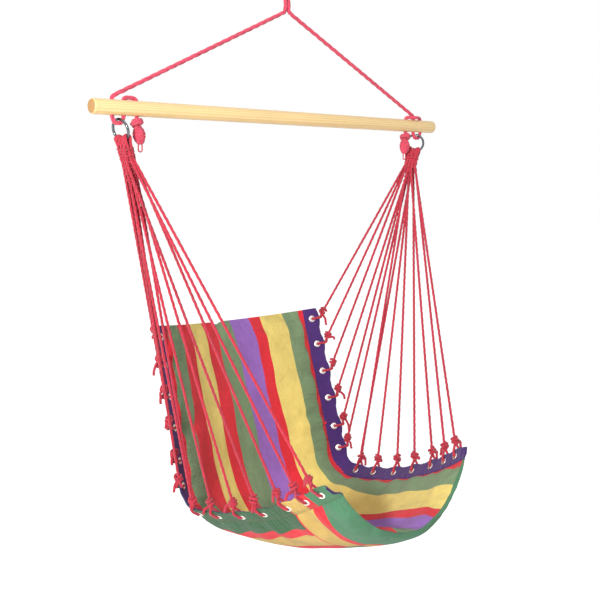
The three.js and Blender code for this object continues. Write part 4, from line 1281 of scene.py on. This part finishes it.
class HAMMOCK_CHAIR_OT_hanging_knot(bpy.types.Operator):
    """Make the hanging loop, the heart of its knot and the turn of rope round it"""

    bl_idname = "hammock_chair.hanging_knot"
    bl_label = "Hanging Loop and Knot"

    def execute(self, context):
        rope = settings().rope
        foot, arch_z = KNOT_Z + KNOT_HALF, rope.rope_diameter / 2 - LOOP_RADIUS
        rising = [(-NECK_X, 0, foot), (-NECK_X, 0, foot + 0.009), (-LOOP_RADIUS, 0, LOOP_SHOULDER_Z)]
        arch = [(LOOP_RADIUS * math.cos(a), 0, arch_z + LOOP_RADIUS * math.sin(a))
                for a in np.linspace(math.pi, 0, 15)]
        falling = [(-x, y, z) for x, y, z in rising[::-1]]
        loop = rope_piece("hanging_loop_rope", [finely_eased([*rising, *arch, *falling])],
                          rope.rope_diameter, rope.rope_lay)
        finish(loop, "hanger", "rope", "hanging_loop")
        heart = coil((0, 0, KNOT_Z), (0, 0, 1), *HEART_COIL)
        middle = [(0, 0, KNOT_Z + HEART_REACH), (0, 0, KNOT_Z - HEART_REACH)]
        core = rope_piece("knot_heart", [finely_eased(heart), finely_eased(middle)],
                          HEART_DIAMETER, HEART_LAY, 0.002)
        finish(core, "knot", "rope", "loop_knot_core")
        turn = [(COLLAR_RADIUS * math.cos(a), COLLAR_RADIUS * math.sin(a),
                 KNOT_Z + COLLAR_WAVE * math.sin(2 * a) - COLLAR_FALL * a / math.pi)
                for a in np.linspace(0, 2 * math.pi + COLLAR_LAP, 40)]
        collar = rope_piece("knot_collar_rope", [finely_eased(turn)], COLLAR_DIAMETER, COLLAR_LAY)
        finish(collar, "knot_collar", "rope", "loop_knot_wrap")
        return {"FINISHED"}


def bridle_route(side_name):
    """From the knot to the bar, down one hole, under the ring, up the next and to the tail's hole."""
    side, run = SIDES[side_name], ROPE_RUNS[side_name]
    top = BAR_Z + BAR_RADIUS
    crest = top + settings().rope.rope_diameter / 2 + ROPE_GAP
    hitch = (OUTER_HOLE_X - MIDDLE_HOLE_X) / 2
    corners = [(NECK_X, 0, KNOT_Z - 0.0108), (NECK_X, 0, APEX_Z), (run["down"], 0, top + run["rise"]),
               (run["down"], 0, HITCH_BOTTOM_Z), (run["up"], 0, HITCH_BOTTOM_Z), (run["up"], 0, crest),
               (TAIL_HOLE_X, 0, crest), (TAIL_HOLE_X, 0, BAR_UNDER_Z)]
    radii = [ROPE_BEND, run["bend"], hitch, hitch, ROPE_HUMP, ROPE_HUMP]
    if run["up"] > run["down"]:
        corners.insert(6, (run["down"], -LEG_ASIDE, crest))
        radii.insert(5, LEG_ASIDE)
    return rounded([(side * x, y, z) for x, y, z in corners], radii)


def stopper_piece(side_name):
    """A stopper knot: a turned head, an egg of twisted strands and a thin end loop."""
    side, lean = SIDES[side_name], STOPPER_LEANS[side_name]
    x, low_x = side * TAIL_HOLE_X, side * (TAIL_HOLE_X - lean)
    head, body = (x, 0, BAR_UNDER_Z - HEAD_DROP), (x - side * lean * 0.7, 0, BAR_UNDER_Z - BODY_DROP)
    turns = [coil(head, (0.25 * side, 0.12, 1), *HEAD_COIL, start=0.6),
             [(x, 0, BAR_UNDER_Z + 0.004), head, body]]
    strands = [coil(body, (side * lean * 0.8, 0, 0.030), *EGG_COIL,
                    start=2 * math.pi * k / EGG_STRANDS, power=0.8) for k in range(EGG_STRANDS)]
    loop = [(low_x + across, 0.0, BAR_UNDER_Z - END_LOOP_DROP + height) for across, height in END_LOOP]
    return joined(f"{side_name}_stopper", [
        rope_piece("stopper_turns", [finely_eased(turn) for turn in turns], 0.0090, 0.05),
        rope_piece("stopper_egg", [finely_eased(strand) for strand in strands], 0.0068, 0.03, 0.0018, 8),
        rope_piece("stopper_loop", [eased(loop, 0.003)], 0.0030, 0.012, 0.0012, 7)])


class HAMMOCK_CHAIR_OT_bridle(bpy.types.Operator):
    """Make the two suspension ropes, hitched under the rings, with their stopper knots"""

    bl_idname = "hammock_chair.bridle"
    bl_label = "Suspension Ropes"

    def execute(self, context):
        rope = settings().rope
        for side_name in SIDES:
            made = rope_piece(f"{side_name}_bridle_rope", [bridle_route(side_name)], rope.rope_diameter,
                              rope.rope_lay, 0.0026)
            finish(made, "bridle", "rope", f"{side_name}_suspension_rope")
            finish(stopper_piece(side_name), "bridle", "rope", f"{side_name}_stopper_knot")
        return {"FINISHED"}


class HAMMOCK_CHAIR_OT_bar(bpy.types.Operator):
    """Make the turned wooden spreader bar with its rope holes"""

    bl_idname = "hammock_chair.bar"
    bl_label = "Spreader Bar"

    def execute(self, context):
        rounds = [(BAR_RADIUS - BAR_END_ROUND + BAR_END_ROUND * math.sin(a),
                   BAR_HALF - BAR_END_ROUND + BAR_END_ROUND * math.cos(a))
                  for a in np.linspace(0, math.pi / 2, 7)]
        profile = [(0.0, -BAR_HALF), *[(r, -h) for r, h in rounds], *rounds[::-1], (0.0, BAR_HALF)]
        mesh = lathe("turned_bar", profile, TURNED_SIDES)
        mesh.transform(Matrix.Translation((0, 0, BAR_Z)) @ Matrix.Rotation(math.pi / 2, 4, "Y"))
        bar = link_object("turned_bar", mesh)
        drills = bmesh.new()
        for x in (OUTER_HOLE_X, MIDDLE_HOLE_X, TAIL_HOLE_X):
            for side in SIDES.values():
                bmesh.ops.create_cone(drills, cap_ends=True, segments=DRILL_SIDES, radius1=HOLE_RADIUS,
                                      radius2=HOLE_RADIUS, depth=DRILL_LENGTH,
                                      matrix=Matrix.Translation((side * x, 0, BAR_Z)))
        drill_mesh = bpy.data.meshes.new("drills")
        drills.to_mesh(drill_mesh)
        drills.free()
        holes = bar.modifiers.new("Holes", "BOOLEAN")
        holes.operation, holes.solver, holes.object = "DIFFERENCE", "EXACT", link_object("drills", drill_mesh)
        drill = holes.object
        bar = evaluated_mesh(bar)
        drop(drill)
        shade_smooth(bar.data)
        bar.data.set_sharp_from_angle(angle=math.radians(38))
        bar.data.materials.clear()
        bar.data.materials.append(material_of("Pale wood"))
        finish(bar, "bridle", "wood", "spreader_bar")
        return {"FINISHED"}


class HAMMOCK_CHAIR_OT_rings(bpy.types.Operator):
    """Make the two plated steel rings"""

    bl_idname = "hammock_chair.rings"
    bl_label = "Steel Rings"

    def execute(self, context):
        profile = [(RING_RADIUS + WIRE_RADIUS * math.cos(a), WIRE_RADIUS * math.sin(a))
                   for a in np.linspace(0, 2 * math.pi, 25)]
        for side_name in SIDES:
            name = f"{side_name}_plated_ring"
            centre = ring_point(side_name, RING_RADIUS, 0, 0, 1)
            across = ring_point(side_name, RING_RADIUS, 1, 0, 1) - centre
            down = ring_point(side_name, RING_RADIUS + 1, 0, 0, 1) - centre
            ways = [list(way) for way in (across, down, np.cross(across, down))]
            basis = Matrix(ways).transposed().to_4x4()
            mesh = lathe(name, profile, TURNED_SIDES)
            mesh.transform(Matrix.Translation(Vector(centre)) @ basis)
            mesh.materials.append(material_of("Ring steel"))
            finish(link_object(name, mesh), "sling", "steel", f"{side_name}_ring")
        return {"FINISHED"}


class HAMMOCK_CHAIR_OT_cords(bpy.types.Operator):
    """Make the cords, doubled over the rings and tied to the eyelets"""

    bl_idname = "hammock_chair.cords"
    bl_label = "Cords"

    def execute(self, context):
        rope = settings().rope
        for side_name in SIDES:
            for number, plan in enumerate(CORDS, 1):
                made = rope_piece(f"{side_name}_tied_cord_{number}", [cord_route(side_name, plan)],
                                  rope.cord_diameter, rope.cord_lay, 0.0021, 7, "Red cord")
                finish(made, "sling", "rope", f"{side_name}_cord_{number}")
            woven = rope_piece(f"{side_name}_woven_cord", [weft_route(side_name)], WEFT_DIAMETER,
                               WEFT_LAY, 0.0017, 7, "Red cord")
            finish(woven, "sling", "rope", f"{side_name}_cord_binding")
        return {"FINISHED"}


class HAMMOCK_CHAIR_OT_eyelets(bpy.types.Operator):
    """Make the nickelled eyelets in the edge bands"""

    bl_idname = "hammock_chair.eyelets"
    bl_label = "Eyelets"

    def execute(self, context):
        profile = [*EYELET_PROFILE, *[(radius, -height) for radius, height in EYELET_PROFILE[-2::-1]]]
        for side_name, side in SIDES.items():
            edge, out, facing, onward = band_frame(EYELET_PLACES, side)
            eyelet = link_object("eyelet", lathe("eyelet", profile, EYELET_SIDES))
            made = copies_piece(f"{side_name}_eyelets", eyelet, edge - out * EYELET_INSET, facing, onward,
                                "Eyelet nickel")
            names = [f"{side_name}_back_eyelet_{k}" for k in range(1, 7)]
            names += [f"{side_name}_seat_eyelet_{k}" for k in range(1, 8)]
            finish(made, "sling", "nickel", *names)
        return {"FINISHED"}


class HAMMOCK_CHAIR_OT_bands(bpy.types.Operator):
    """Make the folded edge bands and their rows of stitches"""

    bl_idname = "hammock_chair.bands"
    bl_label = "Edge Bands"

    def execute(self, context):
        for side_name, side in SIDES.items():
            band = finish(band_piece(side_name), "sling", "purple_cloth", f"{side_name}_edge_band")
            inner = stitches(f"{side_name}_band_stitches", side, INNER_STITCHES, 1, "Band thread")
            finish(inner, "sling", "purple_cloth")
            outer = stitches(f"{side_name}_cover_stitches", side, OUTER_STITCHES, -1, "Cover thread")
            finish(outer, "sling", "under_cloth")
        return {"FINISHED"}


class HAMMOCK_CHAIR_OT_pad(bpy.types.Operator):
    """Make the padded panel, swollen by its filling"""

    bl_idname = "hammock_chair.pad"
    bl_label = "Padded Panel"

    def execute(self, context):
        rows, points, facing, share, reach, inset, crown = pad_grid()
        waves = puckers(rows, share, inset, points)
        over, under = ((PAD_RIM_HALF + (reach_out - PAD_RIM_HALF) * crown)[..., None] * facing
                       for reach_out in (PAD_OVER, PAD_UNDER))
        middle = points + facing * (waves - front_drop(rows, inset))[..., None]
        keep = np.ones((len(rows) - 1, points.shape[1] - 1), dtype=bool)
        mesh = thick_sheet("swollen_pad", middle + over, middle - under, keep)
        down = np.broadcast_to(rows[:, None], share.shape)
        set_maps(mesh, StripeMap=np.stack([share, down / SLING_LENGTH], axis=-1),
                 ClothMap=np.stack([reach, down], axis=-1))
        mesh.materials.append(material_of("Striped cover"))
        mesh.materials.append(material_of("Under cover"))
        for polygon in mesh.polygons:
            polygon.material_index = int(max(polygon.vertices) >= share.size)
            polygon.use_smooth = True
        pad = link_object("swollen_pad", mesh)
        ends = np.minimum(rows, SLING_LENGTH - rows)[:, None]
        held = ((inset < BAND_SHELF + PAD_SEAM) | (ends < 0.004)).ravel()
        swell(pad, np.concatenate([held, held]), settings().cloth.swell)
        smooth = pad.modifiers.new("Smooth cover", "SUBSURF")
        smooth.levels = smooth.render_levels = 1
        finish(pad, "sling", "striped_cloth", "top_cover", "pad_filling", "bottom_cover")
        return {"FINISHED"}


class HAMMOCK_CHAIR_PT_panel(bpy.types.Panel):
    """The chair's settings, and a button for each piece"""

    bl_idname = "HAMMOCK_CHAIR_PT_panel"
    bl_label = "Hammock Chair"
    bl_space_type = "VIEW_3D"
    bl_region_type = "UI"
    bl_category = "Hammock Chair"

    def draw(self, context):
        for title in ChairSettings.__annotations__:
            group = getattr(context.scene.hammock_chair, title)
            box = self.layout.box()
            box.label(text=title.capitalize())
            for key in group.__annotations__:
                box.prop(group, key)
        for operator in OPERATORS:
            self.layout.operator(operator.bl_idname)


OPERATORS = (
    HAMMOCK_CHAIR_OT_camera, HAMMOCK_CHAIR_OT_stage, HAMMOCK_CHAIR_OT_hanging_knot, HAMMOCK_CHAIR_OT_bridle,
    HAMMOCK_CHAIR_OT_bar, HAMMOCK_CHAIR_OT_rings, HAMMOCK_CHAIR_OT_cords, HAMMOCK_CHAIR_OT_eyelets,
    HAMMOCK_CHAIR_OT_bands, HAMMOCK_CHAIR_OT_pad,
)
CLASSES = (RopeSettings, WoodSettings, MetalSettings, ClothSettings, StudioSettings, ChairSettings,
           *OPERATORS, HAMMOCK_CHAIR_PT_panel)


def register():
    for made in CLASSES:
        bpy.utils.register_class(made)
    bpy.types.Scene.hammock_chair = PointerProperty(type=ChairSettings)


def unregister():
    del bpy.types.Scene.hammock_chair
    for made in reversed(CLASSES):
        bpy.utils.unregister_class(made)


def main():
    register()
    for operator in OPERATORS:
        getattr(bpy.ops.hammock_chair, operator.bl_idname.split(".")[1])()


if __name__ == "__main__":
    main()
